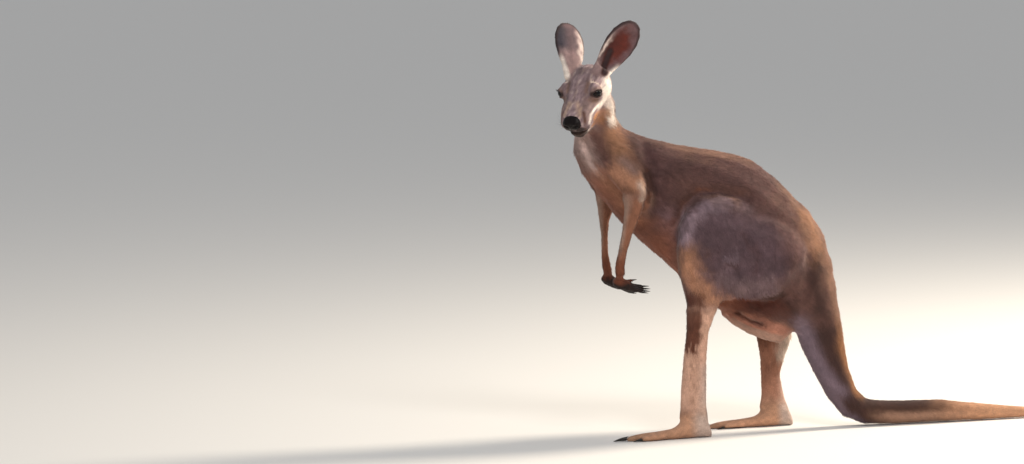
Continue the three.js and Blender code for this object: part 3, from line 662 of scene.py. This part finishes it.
# the far shank, a darker copy of the sand: painted shade on the far leg
lay("far_shank", far_shank * 0.9)
shin_line = side_line(flat, (-0.305, 0.2), (-0.31, 0.06))
lay("shank_stripe", near_shank * bell(shin_line, 0, 0.01) * (0.5 + 0.5 * fine))
jagged = z - 0.222 + 0.016 * fine + 0.006 * rough
rear_edge = x + 0.287 - 0.1 * (z - 0.22) + 0.005 * fine
shin = np.maximum(shank, haunch_share) * near_side * ease(-0.004, 0.008, jagged)
lay("shin_dark", shin * ease(0.004, -0.008, rear_edge) * ease(0.385, 0.35, z) * 0.95)
far_shin = far_shank * ease(0.185, 0.215, z + 0.012 * fine)
lay("far_shin", far_shin * ease(-0.1, -0.118, x + 0.004 * fine) * 0.9)
calf = side_line(flat, (-0.052, 0.25), (-0.072, 0.18))
lay("calf_white", far_shank * ease(0.032, 0.004, calf + 0.006 * fine) * 0.85)
near_tendon = side_line(flat, (-0.27, 0.17), (-0.282, 0.03))
far_tendon = side_line(flat, (-0.07, 0.12), (-0.066, 0.02))
lay("heel_white", near_shank * bell(near_tendon, 0, 0.018) * 0.8)
lay("heel_white", far_shank * bell(far_tendon, 0, 0.014) * 0.8)
lay("foot_sand", foot)
heels = np.maximum(near_side * ease(-0.325, -0.29, x), far_side * ease(-0.1, -0.075, x))
toes = np.maximum(near_side * ease(-0.42, -0.47, x), far_side * ease(-0.22, -0.27, x))
lay("heel_white", foot * heels * 0.85)
lay("toe_dark", foot * toes * 0.7)

# head
head = member("head", "lower_jaw")
throat = np.maximum(head, member("neck"))
local = in_head(places)
mirrored = local.copy()
mirrored[:, 1] = np.abs(local[:, 1])
streak = ripple(local * np.array([0.25, 1, 1]), size=0.006, seed=4)


def face_patch(name, strength, size, soft, *stops, share=head):
    """A soft patch on both sides of the face, along a line given in the head's own frame."""
    span = near_line(mirrored, *stops) + 0.25 * soft * streak
    lay(name, share * strength * ease(size + soft, size - soft, span))


lay("forehead", head)
lay("face_dark", head * 0.5 * ease(0.0, 0.9, streak))
lay("brow_pale", head * 0.3 * ease(0.3, 1.0, -streak))
face_patch("throat", 0.8, 0.02, 0.012, (0.06, 0.0, -0.092), (-0.04, 0.0, -0.104))
face_patch("cheek_pale", 0.95, 0.016, 0.01, (-0.046, 0.06, -0.01), (-0.028, 0.056, -0.05),
           (-0.016, 0.053, -0.076), (-0.002, 0.052, -0.096), share=throat)
face_patch("throat", 0.7, 0.008, 0.014, (-0.062, 0.05, -0.02), (-0.052, 0.046, -0.07), share=throat)
face_patch("cheek_pale", 0.9, 0.01, 0.009, (-0.022, 0.057, -0.012), (-0.008, 0.05, -0.038),
           (0.012, 0.046, -0.034))
face_patch("face_dark", 0.75, 0.004, 0.01, (-0.024, 0.022, 0.024), (0.018, 0.023, 0.006),
           (0.05, 0.027, -0.006))
face_patch("eye_brown", 0.85, 0.01, 0.009, (0.014, 0.046, -0.014), (0.026, 0.036, -0.006))
face_patch("bar_dark", 0.35, 0.004, 0.008, (0.012, 0.046, -0.014), (0.024, 0.036, -0.006))
face_patch("eye_brown", 0.8, 0.005, 0.006, (0.01, 0.026, 0.012), (-0.01, 0.027, 0.021))
face_patch("muzzle_grey", 0.85, 0.014, 0.008, (0.04, 0.034, -0.008), (0.066, 0.036, -0.026))
# ochre under the jaw and down the throat's side, warmed further as painted bounce light
face_patch("jaw_ochre_and_bounce_light", 0.95, 0.012, 0.007, (0.042, 0.042, -0.046), (0.018, 0.04, -0.062),
           (-0.002, 0.045, -0.072), share=throat)
face_patch("jaw_ochre_and_bounce_light", 0.9, 0.008, 0.006, (0.04, 0.027, -0.07), (0.017, 0.036, -0.078), share=throat)
face_patch("bar_dark", 0.5, 0.001, 0.004, (0.036, 0.04, -0.056), (0.004, 0.042, -0.07), share=throat)
face_patch("bar_dark", 0.4, 0.001, 0.004, (0.034, 0.032, -0.07), (0.01, 0.038, -0.082), share=throat)
face_patch("throat", 0.8, 0.01, 0.006, (0.048, 0.022, -0.094), (0.028, 0.034, -0.106))
face_patch("muzzle_ochre", 0.65, 0.004, 0.009, (0.044, 0.011, 0.002), (0.068, 0.022, -0.012))
face_patch("bar_dark", 0.9, 0.004, 0.004, (0.06, 0.029, -0.011), (0.076, 0.033, -0.028),
           (0.079, 0.027, -0.05))
face_patch("stripe_white", 1.0, 0.0032, 0.003, (0.01, 0.046, -0.032), (0.036, 0.045, -0.024),
           (0.053, 0.042, -0.025), (0.07, 0.038, -0.037), (0.064, 0.024, -0.072))
face_patch("crown_dark", 0.6, 0.002, 0.004, (0.04, 0.0, 0.006), (0.006, 0.0, 0.021), (-0.04, 0.0, 0.031))
face_patch("eye_dark", 0.45, 0.006, 0.008, (-0.034, 0.006, 0.032), (-0.048, 0.004, 0.033))
face_patch("crown_dark", 0.7, 0.008, 0.008, (-0.05, 0.008, 0.036), (-0.078, 0.03, 0.03))
face_patch("brow_pale", 0.95, 0.0024, 0.0024, (-0.017, 0.033, 0.0195), (-0.015, 0.047, 0.014),
           (-0.016, 0.055, -0.002))
# dark lips, deepened as painted shade under the nose and along the mouth, and a chin in painted shade
face_patch("lip_dark_and_shade", 0.95, 0.008, 0.004, (0.09, 0.0, -0.046), (0.084, 0.02, -0.046))
face_patch("lip_dark_and_shade", 0.97, 0.007, 0.003, (0.09, 0.008, -0.057), (0.072, 0.024, -0.058),
           (0.05, 0.03, -0.056))
face_patch("chin_shade", 0.95, 0.012, 0.006, (0.084, 0.0, -0.066), (0.074, 0.014, -0.072))
for side, hand in SIDES.items():
    outward, along, across = lid_frame(hand)
    spoke = local - in_head(eye_centres[side])
    lids = between_lids(spoke, hand)
    on_eye = head * ease(0.032, 0.024, norm(spoke, axis=1))
    lay("eye_brown", on_eye * ease(4.0, 2.2, lids + 0.3 * streak) * 0.6)
    lay("eye_dark", on_eye * ease(1.95, 1.3, lids + 0.15 * streak))
    from_corner = norm(spoke - 0.0185 * along - 0.004 * outward, axis=1)
    lay("eye_dark", head * bell(from_corner, 0, 0.007) * 0.9)

# ears: reddish brown inside with a grey margin and a dark rim, and painted shade deep in their hollow;
# blue-grey to white on their backs
EARS = {"left": ((-0.5158, -0.08, 0.914), (0.62, 0.11, 0.79), (0.5, -0.85, 0.1)),
        "right": ((-0.5838, -0.052, 0.914), (-0.03, 0.63, 0.775), (-0.45, 0.85, -0.3))}
EAR_LENGTH = 0.16
EAR_HALF = 0.042
for side, (root, axis, opening) in EARS.items():
    axis = unit(np.array(axis))
    opening = unit(np.array(opening) - axis * (axis @ np.array(opening)))
    lateral = np.cross(axis, opening)
    ear = member(f"ear_{side}")
    from_root = places - np.array(root)
    t = from_root @ axis / EAR_LENGTH
    w = from_root @ lateral / EAR_HALF
    edge = np.sqrt(np.clip((w / 0.92) ** 2 + (np.clip(t - 0.52, -0.5, 1) / 0.46) ** 2, 0, 2))
    inside = ease(-0.1, 0.2, normals @ opening)
    back = ear * (1 - inside)
    bowl = ear * inside
    grain = ripple(places, size=0.016, seed=7)
    lay("ear_base", ear)
    lay("ear_blue", back * ease(-0.65, -0.05, w + 0.15 * grain) * ease(0.28, 0.5, t))
    lay("ear_grey", back * bell(w, 0.0, 0.35) * 0.6)
    lay("ear_white", back * ease(-0.35, -0.8, w + 0.15 * grain) * ease(0.9, 0.7, t))
    lay("ear_grey", back * ease(0.8, 0.95, t))
    lay("ear_grey", bowl * ease(0.1, 0.2, t))
    lay("ear_red", bowl * ease(0.98, 0.35, edge + 0.1 * grain) * ease(0.1, 0.26, t))
    # painted shade deep in the ear's bowl
    lay("ear_hollow_shade", bowl * bell(w, -0.4, 0.32) * bell(t, 0.42, 0.26) * 0.8)
    lay("ear_white", bowl * bell(w + 0.1 * grain, -0.72, 0.13) * ease(0.72, 0.45, t) * 0.9)
    lay("cheek_pale", ear * ease(0.4, 0.65, w + 0.9 * (0.2 - t)) * ease(0.36, 0.16, t) * 0.9)
    lay("rim_dark", ear * ease(0.86, 0.98, edge) * ease(0.22, 0.4, t) * 0.9)
    in_ear = np.stack([t * EAR_LENGTH, w * EAR_HALF, 0 * t], axis=1)
    hollow = near_line(in_ear, (0.062, -0.008, 0), (0.036, -0.001, 0), (0.01, 0.006, 0))
    # painted shade along the ear's inner hollow
    bowl = ear * ease(-0.45, -0.05, normals @ opening)
    lay("ear_hollow_shade", bowl * ease(0.014, 0.006, hollow))
    lay("rim_dark", bowl * ease(0.01, 0.003, hollow) * 0.8)
    margin = np.array(root) + lateral * 0.03
    at_margin = near_line(places, margin - axis * 0.02, margin + axis * 0.02)
    lay("cheek_pale", np.maximum(head, ear) * bell(at_margin, 0, 0.01) * 0.35)

# the unevenness of the whole coat, in small, middling and large mottles
mottles = 1 + 0.1 * ripple(places, size=0.01, seed=8) + 0.08 * ripple(places, size=0.035, seed=9)
mottles = mottles + 0.1 * member(*MUSCLED) * ripple(places, size=0.06, seed=21)
colours = colours * mottles[:, None]


def put_markings_and_light(mesh, colours):
    """Writes the colours, markings and painted light and shade alike, into a mesh, one for each of its
    points.
    """
    attribute = mesh.attributes.new("markings_and_painted_light", "FLOAT_COLOR", "POINT")
    attribute.data.foreach_set("color", np.concatenate([colours, np.ones((len(colours), 1))], axis=1).ravel())


put_markings_and_light(skin_mesh, colours)


# the hair's own speckle, and the fine relief of short hair lying flat
def new_node(finish, kind, values={}):
    """A node of this kind in a finish, with these values on its inputs."""
    node = finish.node_tree.nodes.new("ShaderNode" + kind)
    for socket, value in values.items():
        node.inputs[socket].default_value = value
    return node


def wire(start, output, end, socket):
    end.id_data.links.new(start.outputs[output], end.inputs[socket])


hide, shader = new_finish("hide", {"Specular IOR Level": 0.25, "Sheen Weight": 0.12, "Sheen Roughness": 0.5})
coloured_hide = new_node(hide, "Attribute")
coloured_hide.attribute_name = "markings_and_painted_light"
place = new_node(hide, "TexCoord")
hairs = new_node(hide, "TexNoise", {"Scale": 420, "Detail": 3})
locks = new_node(hide, "TexNoise", {"Scale": 70, "Detail": 4})
speckle = new_node(hide, "MapRange", {"From Min": 0.3, "From Max": 0.7, "To Min": 0.82, "To Max": 1.16})
worn = new_node(hide, "MapRange", {"From Min": 0.3, "From Max": 0.7, "To Min": 0.9, "To Max": 1.1})
gloss = new_node(hide, "MapRange", {"To Min": 0.68, "To Max": 0.92})
both = new_node(hide, "Math")
both.operation = "MULTIPLY"
toned = new_node(hide, "VectorMath")
toned.operation = "SCALE"
relief = new_node(hide, "Bump", {"Strength": 0.7, "Distance": 0.001})
wire(place, "Object", hairs, "Vector")
wire(place, "Object", locks, "Vector")
wire(hairs, "Fac", speckle, "Value")
wire(locks, "Fac", worn, "Value")
wire(speckle, "Result", both, 0)
wire(worn, "Result", both, 1)
wire(coloured_hide, "Color", toned, 0)
wire(both, "Value", toned, "Scale")
wire(toned, "Vector", shader, "Base Color")
wire(hairs, "Fac", relief, "Height")
wire(relief, "Normal", shader, "Normal")
wire(locks, "Fac", gloss, "Value")
wire(gloss, "Result", shader, "Roughness")
skin_mesh.materials.append(hide)

skin_mesh.uv_layers.new(name="OFBake")
bpy.context.view_layer.objects.active = skin
skin.select_set(True)
bpy.ops.object.mode_set(mode="EDIT")
bpy.ops.mesh.select_all(action="SELECT")
bpy.ops.uv.smart_project(angle_limit=math.radians(60), island_margin=0.001)
bpy.ops.object.mode_set(mode="OBJECT")
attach(skin, "root")
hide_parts(*FLESH)


# ---- coat
# Short fur in solid tufts rooted in the skin, each a slim spike in the skin's colours, painted light and
# shade included. They lie back from the nose over head and ears, along trunk and tail, and down the limbs to
# the toes; long on neck, flank and haunch, and very short on face, ears and feet.
LIE = dict(head=(0, 0, 1), neck=(0.55, 0, -0.8), chest=(0.78, 0, -0.6), abdomen=(0.84, 0, -0.52),
           rump=(0.7, 0, -0.7), tail_root=(0.25, 0.02, -0.97), tail_middle=(0.75, 0.05, -0.55),
           tail_end=(1.0, 0.02, 0.0), pouch=(0.75, 0, -0.45), thigh=(0.3, 0, -0.95), shank=(0.06, 0, -1.0),
           foot=(-0.97, 0.1, -0.15), upper_arm=(0.4, 0, -0.9), forearm=(-0.1, 0, -1.0),
           hand=(0.9, 0.0, -0.43))
LENGTH = dict(head=0.0065, lower_jaw=0.007, ear=0.0035, neck=0.014, chest=0.014, abdomen=0.014, rump=0.015,
              tail_root=0.013, tail_middle=0.011, tail_end=0.009, pouch=0.01, thigh=0.015, shank=0.01,
              foot=0.0055, upper_arm=0.012, forearm=0.009, hand=0.0045)
TUFTS = 300000
MOST_IN_PIECE = 49500
TUFT_WIDTH = 0.13
LEAST_WIDTH = 0.0007
ROOT_DEPTH = 0.0008
DYED_SPOT = 0.0014
FULL_LENGTH = 0.014
NOSE_TIP = np.array([0.09, 0, -0.03])
HAIR_SOURCE = np.array([0.085, 0, -0.03])
SWING = 0.22
LENGTH_SPREAD = (0.65, 1.25)
LIFT_SPREAD = (0.5, 1.5)
TONE_SPREAD = (0.88, 1.12)
ROOT_TO_TIP = (0.9, 0.9, 0.95, 1.12)
COAT_PIECES = {"coat_head": ("head", "lower_jaw", "ear"), "coat_neck": ("neck", "chest", "upper_arm"),
               "coat_flank": ("abdomen",), "coat_rump": ("rump", "tail_root"),
               "coat_tail": ("tail_middle", "tail_end", "pouch"), "coat_thighs": ("thigh",),
               "coat_shanks": ("shank", "foot"), "coat_arms": ("forearm", "hand")}
lie = np.zeros((len(places), 3))
for index, name in enumerate(FLESH):
    part = part_of(name)
    if part == "ear":
        lie[labels == index] = unit(np.array(EARS[name.removeprefix("ear_")][1]))
    elif part in LIE:
        lie[labels == index] = unit(np.array(LIE[part], float))
from_nose = unit(places - (head_middle + HAIR_SOURCE @ head_axes))
face = np.isin(labels, [FLESH.index("head"), FLESH.index("lower_jaw")])
lie[face] = from_nose[face]
lie = relax(lie, links, rounds=90)
lie = unit(lie - normals * np.sum(lie * normals, axis=1, keepdims=True))
length = softened(per_label(labels, 0.01, **LENGTH), 15)
lift = per_label(labels, 0.22, head=0.25, lower_jaw=0.25, ear=0.15, foot=0.18, hand=0.2, shank=0.22)
low = member("shank", "foot") * ease(0.14, 0.07, z)
length = length * (1 - 0.45 * low)
lift = lift * (1 - 0.5 * low)
length = length + 0.006 * shank * far_side * bell(calf, 0, 0.016)
for side, share in (("left", near_side), ("right", far_side)):
    shelf = side_line(seen_from(side, places), (-0.205, 0.372), (-0.15, 0.352), (-0.095, 0.358))
    shelf = bell(shelf, 0, 0.022) * share * member("thigh")
    length = length * (1 + 0.5 * shelf)
    lift = lift + 0.12 * shelf
nose_near = norm(local - NOSE_TIP, axis=1)
length = length * (0.35 + 0.65 * ease(0.02, 0.09, nose_near))
bald = np.zeros(len(places))
for side, hand in SIDES.items():
    spoke = local - in_head(eye_centres[side])
    close = norm(spoke, axis=1) < 0.03
    lids = between_lids(spoke, hand)
    bald = np.maximum(bald, close * ease(1.35, 1.0, lids))
    length = np.where(close, length * (0.35 + 0.65 * ease(1.0, 5.0, lids)), length)

corners = np.zeros(len(skin_mesh.polygons) * 3, np.int64)
skin_mesh.polygons.foreach_get("vertices", corners)
corners = corners.reshape(-1, 3)
unwrap = np.zeros(len(skin_mesh.loops) * 2, np.float32)
skin_mesh.uv_layers["OFBake"].data.foreach_get("uv", unwrap)
unwrap = unwrap.reshape(-1, 3, 2)
area = norm(np.cross(places[corners[:, 1]] - places[corners[:, 0]],
                     places[corners[:, 2]] - places[corners[:, 0]]), axis=1) / 2
crowd = area / np.clip(length[corners].mean(axis=1) / FULL_LENGTH, 0.25, 1.0) ** 1.6
crowd = crowd * (1 - bald[corners].mean(axis=1))
draw = np.random.default_rng(11)
tetrahedron = np.array([[0, 1, 3], [1, 2, 3], [2, 0, 3], [0, 2, 1]])
spot_corners = np.array([[-1, -1], [1, -1], [0, 0], [0, 1]]) * DYED_SPOT
tufts = TUFTS // 1
for piece_name, parts in COAT_PIECES.items():
    chosen = [index for index, name in enumerate(FLESH) if part_of(name) in parts]
    here = np.nonzero(np.isin(labels[corners[:, 0]], chosen))[0]
    weight = crowd[here]
    count = min(MOST_IN_PIECE, int(tufts * weight.sum() / crowd.sum()))
    face_at = here[draw.choice(len(here), size=count, p=weight / weight.sum())]
    mix = draw.dirichlet((1, 1, 1), size=count)
    around = corners[face_at]

    def blend(values):
        """The skin's values at the tufts' roots."""
        return np.sum(values[around] * (mix[:, :, None] if values.ndim > 1 else mix), axis=1)

    root, up, along = blend(places), unit(blend(normals)), unit(blend(lie))
    aside = np.cross(up, along)
    swing = draw.normal(0, SWING, count)[:, None]
    along = unit(along + aside * swing)
    aside = np.cross(up, along)
    reach = (blend(length) * draw.uniform(*LENGTH_SPREAD, count))[:, None]
    rise = (blend(lift) * draw.uniform(*LIFT_SPREAD, count))[:, None]
    wide = np.maximum(reach * TUFT_WIDTH, LEAST_WIDTH) / 2
    root = root - up * ROOT_DEPTH
    tip = root + unit(along + up * rise) * reach
    crest = root + up * wide * 1.1 + along * wide
    points = np.stack([root - aside * wide, root + aside * wide, crest, tip], axis=1)
    shade = blend(colours)
    tone = draw.uniform(*TONE_SPREAD, count)[:, None]
    ends = np.stack([shade * tone * part_tone for part_tone in ROOT_TO_TIP], axis=1).reshape(-1, 3)
    first = np.arange(count)[:, None, None] * 4
    triangles = (first + tetrahedron).reshape(-1)
    spot = np.sum(unwrap[face_at] * mix[:, :, None], axis=1)
    spot = (spot[:, None, :] + spot_corners[None, :, :]).reshape(-1, 2)
    mesh = bpy.data.meshes.new(piece_name)
    mesh.vertices.add(count * 4)
    mesh.vertices.foreach_set("co", points.ravel())
    mesh.loops.add(len(triangles))
    mesh.loops.foreach_set("vertex_index", triangles.astype(np.int32))
    mesh.polygons.add(count * 4)
    mesh.polygons.foreach_set("loop_start", np.arange(0, count * 12, 3, dtype=np.int32))
    mesh.update(calc_edges=True)
    mesh.uv_layers.new(name="OFBake").data.foreach_set("uv", spot[triangles].ravel().astype(np.float32))
    put_markings_and_light(mesh, np.clip(ends, 0, 1))
    mesh.shade_smooth()
    mesh.normals_split_custom_set_from_vertices(np.repeat(up, 4, axis=0).tolist())
    mesh.materials.append(hide)
    coat = linked(piece_name, mesh)
    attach(coat, "root")


# ---- eyes
# Glass eyes, near black with a deep brown iris and a round pupil. They are turned with the lids, set
# in the sockets behind them, and bulge a little at the front as a cornea does.
EYE_RADIUS = 0.0134
BULGE = 0.055
BULGE_START = 0.78
BULGE_RUN = 0.22


def new_bands(finish, *stops):
    """A colour ramp with these places and colours, in order."""
    node = new_node(finish, "ValToRGB")
    bands = node.color_ramp.elements
    for end, (position, colour) in ((0, stops[0]), (1, stops[-1])):
        bands[end].position = position
        bands[end].color = (*colour, 1)
    for position, colour in stops[1:-1]:
        bands.new(position).color = (*colour, 1)
    return node


glass, shader = new_finish("eye_glass", {"Roughness": 0.08, "Specular IOR Level": 0.18})
ring = new_node(glass, "Attribute")
ring.attribute_name = "ring"
PUPIL = (0.002, 0.002, 0.003)
bands = new_bands(glass, (0.0, PUPIL), (0.3, PUPIL), (0.35, (0.012, 0.006, 0.004)),
                  (0.5, (0.009, 0.005, 0.004)), (0.56, (0.003, 0.002, 0.002)), (1.0, (0.008, 0.005, 0.004)))
wire(ring, "Fac", bands, "Fac")
wire(bands, "Color", shader, "Base Color")
for side, hand in SIDES.items():
    gaze = lid_frame(hand)[0] @ head_axes
    turn = Vector((0, 0, 1)).rotation_difference(Vector(gaze)).to_matrix().to_4x4()
    ball = bmesh.new()
    bmesh.ops.create_uvsphere(ball, u_segments=48, v_segments=32, radius=EYE_RADIUS)
    for vertex in ball.verts:
        vertex.co *= 1 + BULGE * max(0.0, vertex.co.z / EYE_RADIUS - BULGE_START) / BULGE_RUN
    angles = [math.acos(max(-1, min(1, v.co.normalized().z))) / math.pi * 2 for v in ball.verts]
    bmesh.ops.transform(ball, matrix=Matrix.Translation(eye_centres[side]) @ turn, verts=ball.verts)
    mesh = mesh_of(ball, f"eyeball_{side}")
    mesh.attributes.new("ring", "FLOAT", "POINT").data.foreach_set("value", angles)
    mesh.shade_smooth()
    mesh.materials.append(glass)
    eyeball = linked(f"eyeball_{side}", mesh)
    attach(eyeball, "root")
    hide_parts(f"eye_{side}")


# ---- nose
# Bare black leather round two comma-shaped nostrils, with a groove down the middle. It is pressed
# over the nose's own form, dented for the nostrils, and pebbled all over.
LEATHER = 0.0008
NOSE_CELL = 0.0009
nose_mesh = mesh_of(merged_copy("nose_pad", LEATHER), "nose")
nose_mesh = evaluated(nose_mesh, "REMESH", mode="VOXEL", voxel_size=NOSE_CELL)
nose_places = relax(points_of(nose_mesh), links_of(nose_mesh), rounds=60)
place_points(nose_mesh, nose_places)
ahead, across, high = in_head(nose_places).T
across = np.abs(across)
# the nostril, its comma's tail, the groove, and the wing over the nostril
dent = 0.0048 * bell(np.hypot((across - 0.0115) / 1.3, high + 0.03), 0, 0.0036)
dent += 0.0036 * bell(np.hypot(across - 0.018, (high + 0.027) / 0.8), 0, 0.0028)
dent += 0.0012 * bell(across, 0, 0.0011) * ease(-0.02, -0.026, high)
dent -= 0.001 * bell(np.hypot((across - 0.0115) / 1.4, high + 0.0215), 0, 0.004)
dent = dent * ease(0.072, 0.08, ahead)
place_points(nose_mesh, nose_places - normals_of(nose_mesh) * dent[:, None])
nose_mesh.shade_smooth()
leather, shader = new_finish("nose_leather", {"Roughness": 0.4, "Specular IOR Level": 0.14})
place = new_node(leather, "TexCoord")
pebbles = new_node(leather, "TexVoronoi", {"Scale": 1100})
relief = new_node(leather, "Bump", {"Strength": 0.35, "Distance": 0.0004})
tint = new_bands(leather, (0, (0.003, 0.002, 0.002)), (1, (0.01, 0.006, 0.006)))
wire(place, "Object", pebbles, "Vector")
wire(pebbles, "Distance", relief, "Height")
wire(pebbles, "Distance", tint, "Fac")
wire(tint, "Color", shader, "Base Color")
wire(relief, "Normal", shader, "Normal")
nose_mesh.materials.append(leather)
nose = linked("nose", nose_mesh)
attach(nose, "root")
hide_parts("nose_pad")


# ---- claws
# Black horn with a paler grain: on each hind foot the great claw of the fourth toe, the fifth toe's and
# the small pair of the joined toes, and five on each hand. Each root is drawn deeper into its toe.
horn, shader = new_finish("claw_horn", {"Roughness": 0.42, "Specular IOR Level": 0.3})
place = new_node(horn, "TexCoord")
stretch = new_node(horn, "Mapping", {"Scale": (90, 420, 420)})
grain = new_node(horn, "TexNoise", {"Scale": 2.2, "Detail": 4})
tint = new_bands(horn, (0.35, (0.005, 0.004, 0.004)), (0.75, (0.028, 0.02, 0.017)))
relief = new_node(horn, "Bump", {"Strength": 0.25, "Distance": 0.0004})
wire(place, "Object", stretch, "Vector")
wire(stretch, "Vector", grain, "Vector")
wire(grain, "Fac", tint, "Fac")
wire(grain, "Fac", relief, "Height")
wire(tint, "Color", shader, "Base Color")
wire(relief, "Normal", shader, "Normal")
ROOT_DRAWN = 0.004
for side in SIDES:
    foot_claws = [f"foot_{side}_claw_4", f"foot_{side}_claw_5", f"foot_{side}_claws_2_3"]
    for claw_name in foot_claws + [f"hand_{side}_claw_{number}" for number in range(1, 6)]:
        claw_form = merged_copy(claw_name)
        claw_places = np.array([vertex.co for vertex in claw_form.verts])
        middle = claw_places.mean(axis=0)
        long_way = np.linalg.svd(claw_places - middle)[2][0]
        along = (claw_places - middle) @ long_way
        girth = norm(claw_places - middle - along[:, None] * long_way, axis=1)
        to_root = np.sign(girth[along > 0].mean() - girth[along < 0].mean())
        for vertex, share in zip(claw_form.verts, along * to_root / np.abs(along).max()):
            vertex.co += Vector(long_way * to_root) * ROOT_DRAWN * max(0.0, share)
        claw_mesh = evaluated(mesh_of(claw_form, claw_name + "_horn"), "SUBSURF", levels=2, render_levels=2)
        claw_mesh.shade_smooth()
        claw_mesh.materials.append(horn)
        claw = linked(claw_name + "_horn", claw_mesh)
        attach(claw, "root")
        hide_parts(claw_name)


# ---- whiskers and lashes
# Fine stiff hairs: dark whiskers in four rows on each lip pad, swept back, and a close row of black
# lashes along each upper lid. Each is a tapering hair with three sides, rooted in the skin.
WHISKER_ROWS = 4
WHISKERS_IN_ROW = 5
WHISKER_WIDTH = 0.00045
LASHES = 34
LASH_WIDTH = 0.0005
LASH_ROOTS = 0.015
HAIR_STEPS = 4
skin_tree = BVHTree.FromPolygons(points_of(skin_mesh).tolist(), corners.tolist())
whisker_dye, shader = new_finish("whisker_hair", {"Roughness": 0.45})
place = new_node(whisker_dye, "TexCoord")
shading = new_node(whisker_dye, "TexNoise", {"Scale": 240})
tint = new_bands(whisker_dye, (0, (0.01, 0.008, 0.007)), (1, (0.05, 0.036, 0.028)))
wire(place, "Object", shading, "Vector")
wire(shading, "Fac", tint, "Fac")
wire(tint, "Color", shader, "Base Color")


def stiff_hair(shape, root, heading, bend, reach, thick):
    """A tapering three-sided hair that bends as it goes."""
    ring = None
    for level in range(HAIR_STEPS + 1):
        share = level / HAIR_STEPS
        centre = root + heading * reach * share + bend * reach * 0.35 * share * share
        side = unit(np.cross(heading, bend + np.array([0.01, 0.02, 0.03])))
        lift = np.cross(side, heading)
        wide = thick * (1 - 0.85 * share) / 2
        turned = [shape.verts.new(centre + wide * (math.cos(a) * side + math.sin(a) * lift))
                  for a in (0, 2 * math.pi / 3, 4 * math.pi / 3)]
        if ring:
            for k in range(3):
                shape.faces.new((ring[k], ring[(k + 1) % 3], turned[(k + 1) % 3], turned[k]))
        else:
            shape.faces.new(turned[::-1])
        ring = turned
    shape.faces.new(ring)


whiskers = bmesh.new()
lashes = bmesh.new()
draw = np.random.default_rng(5)
for side, hand in SIDES.items():
    for row in range(WHISKER_ROWS):
        for number in range(WHISKERS_IN_ROW):
            spot = np.array([0.082 - 0.0075 * number, 0.06 * hand, -0.034 - 0.0048 * row])
            inward = np.array([0.0, -hand, 0.0])
            hit = skin_tree.ray_cast(Vector(spot @ head_axes + head_middle), Vector(inward @ head_axes))
            if hit[0] is None:
                continue
            heading = np.array([-0.25 - 0.12 * number, 0.75 * hand, -0.15 - 0.12 * row])
            heading = unit(heading + draw.normal(0, 0.06, 3))
            bend = np.array([-0.6, -0.1 * hand, -0.5])
            stiff_hair(whiskers, np.array(hit[0]) - 0.001 * heading @ head_axes, heading @ head_axes,
                       bend @ head_axes, draw.uniform(0.02, 0.036) + 0.003 * number, WHISKER_WIDTH)
    outward, along, across = lid_frame(hand)
    centre = in_head(eye_centres[side])
    for number in range(LASHES):
        u = -1.0 + 2.0 * (number + draw.uniform(-0.3, 0.3)) / (LASHES - 1)
        v = (max(0.0, 1 - abs(u) ** LID_CURVE)) ** (1 / LID_CURVE)
        spot = along * u * OPENING_HALF * 0.97 + across * v * UPPER_LID * 0.97
        spot = spot + outward * math.sqrt(max(0.0, LASH_ROOTS ** 2 - spot @ spot))
        heading = unit(outward + 0.25 * across + 0.5 * u * along + draw.normal(0, 0.08, 3))
        stiff_hair(lashes, (centre + spot) @ head_axes + head_middle, heading @ head_axes,
                   (0.9 * across - 0.2 * outward) @ head_axes, draw.uniform(0.0045, 0.0075), LASH_WIDTH)
for name, shape in (("whiskers", whiskers), ("lashes", lashes)):
    bmesh.ops.recalc_face_normals(shape, faces=shape.faces)
    mesh = mesh_of(shape, name)
    mesh.shade_smooth()
    mesh.materials.append(whisker_dye)
    hairs_piece = linked(name, mesh)
    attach(hairs_piece, "root")
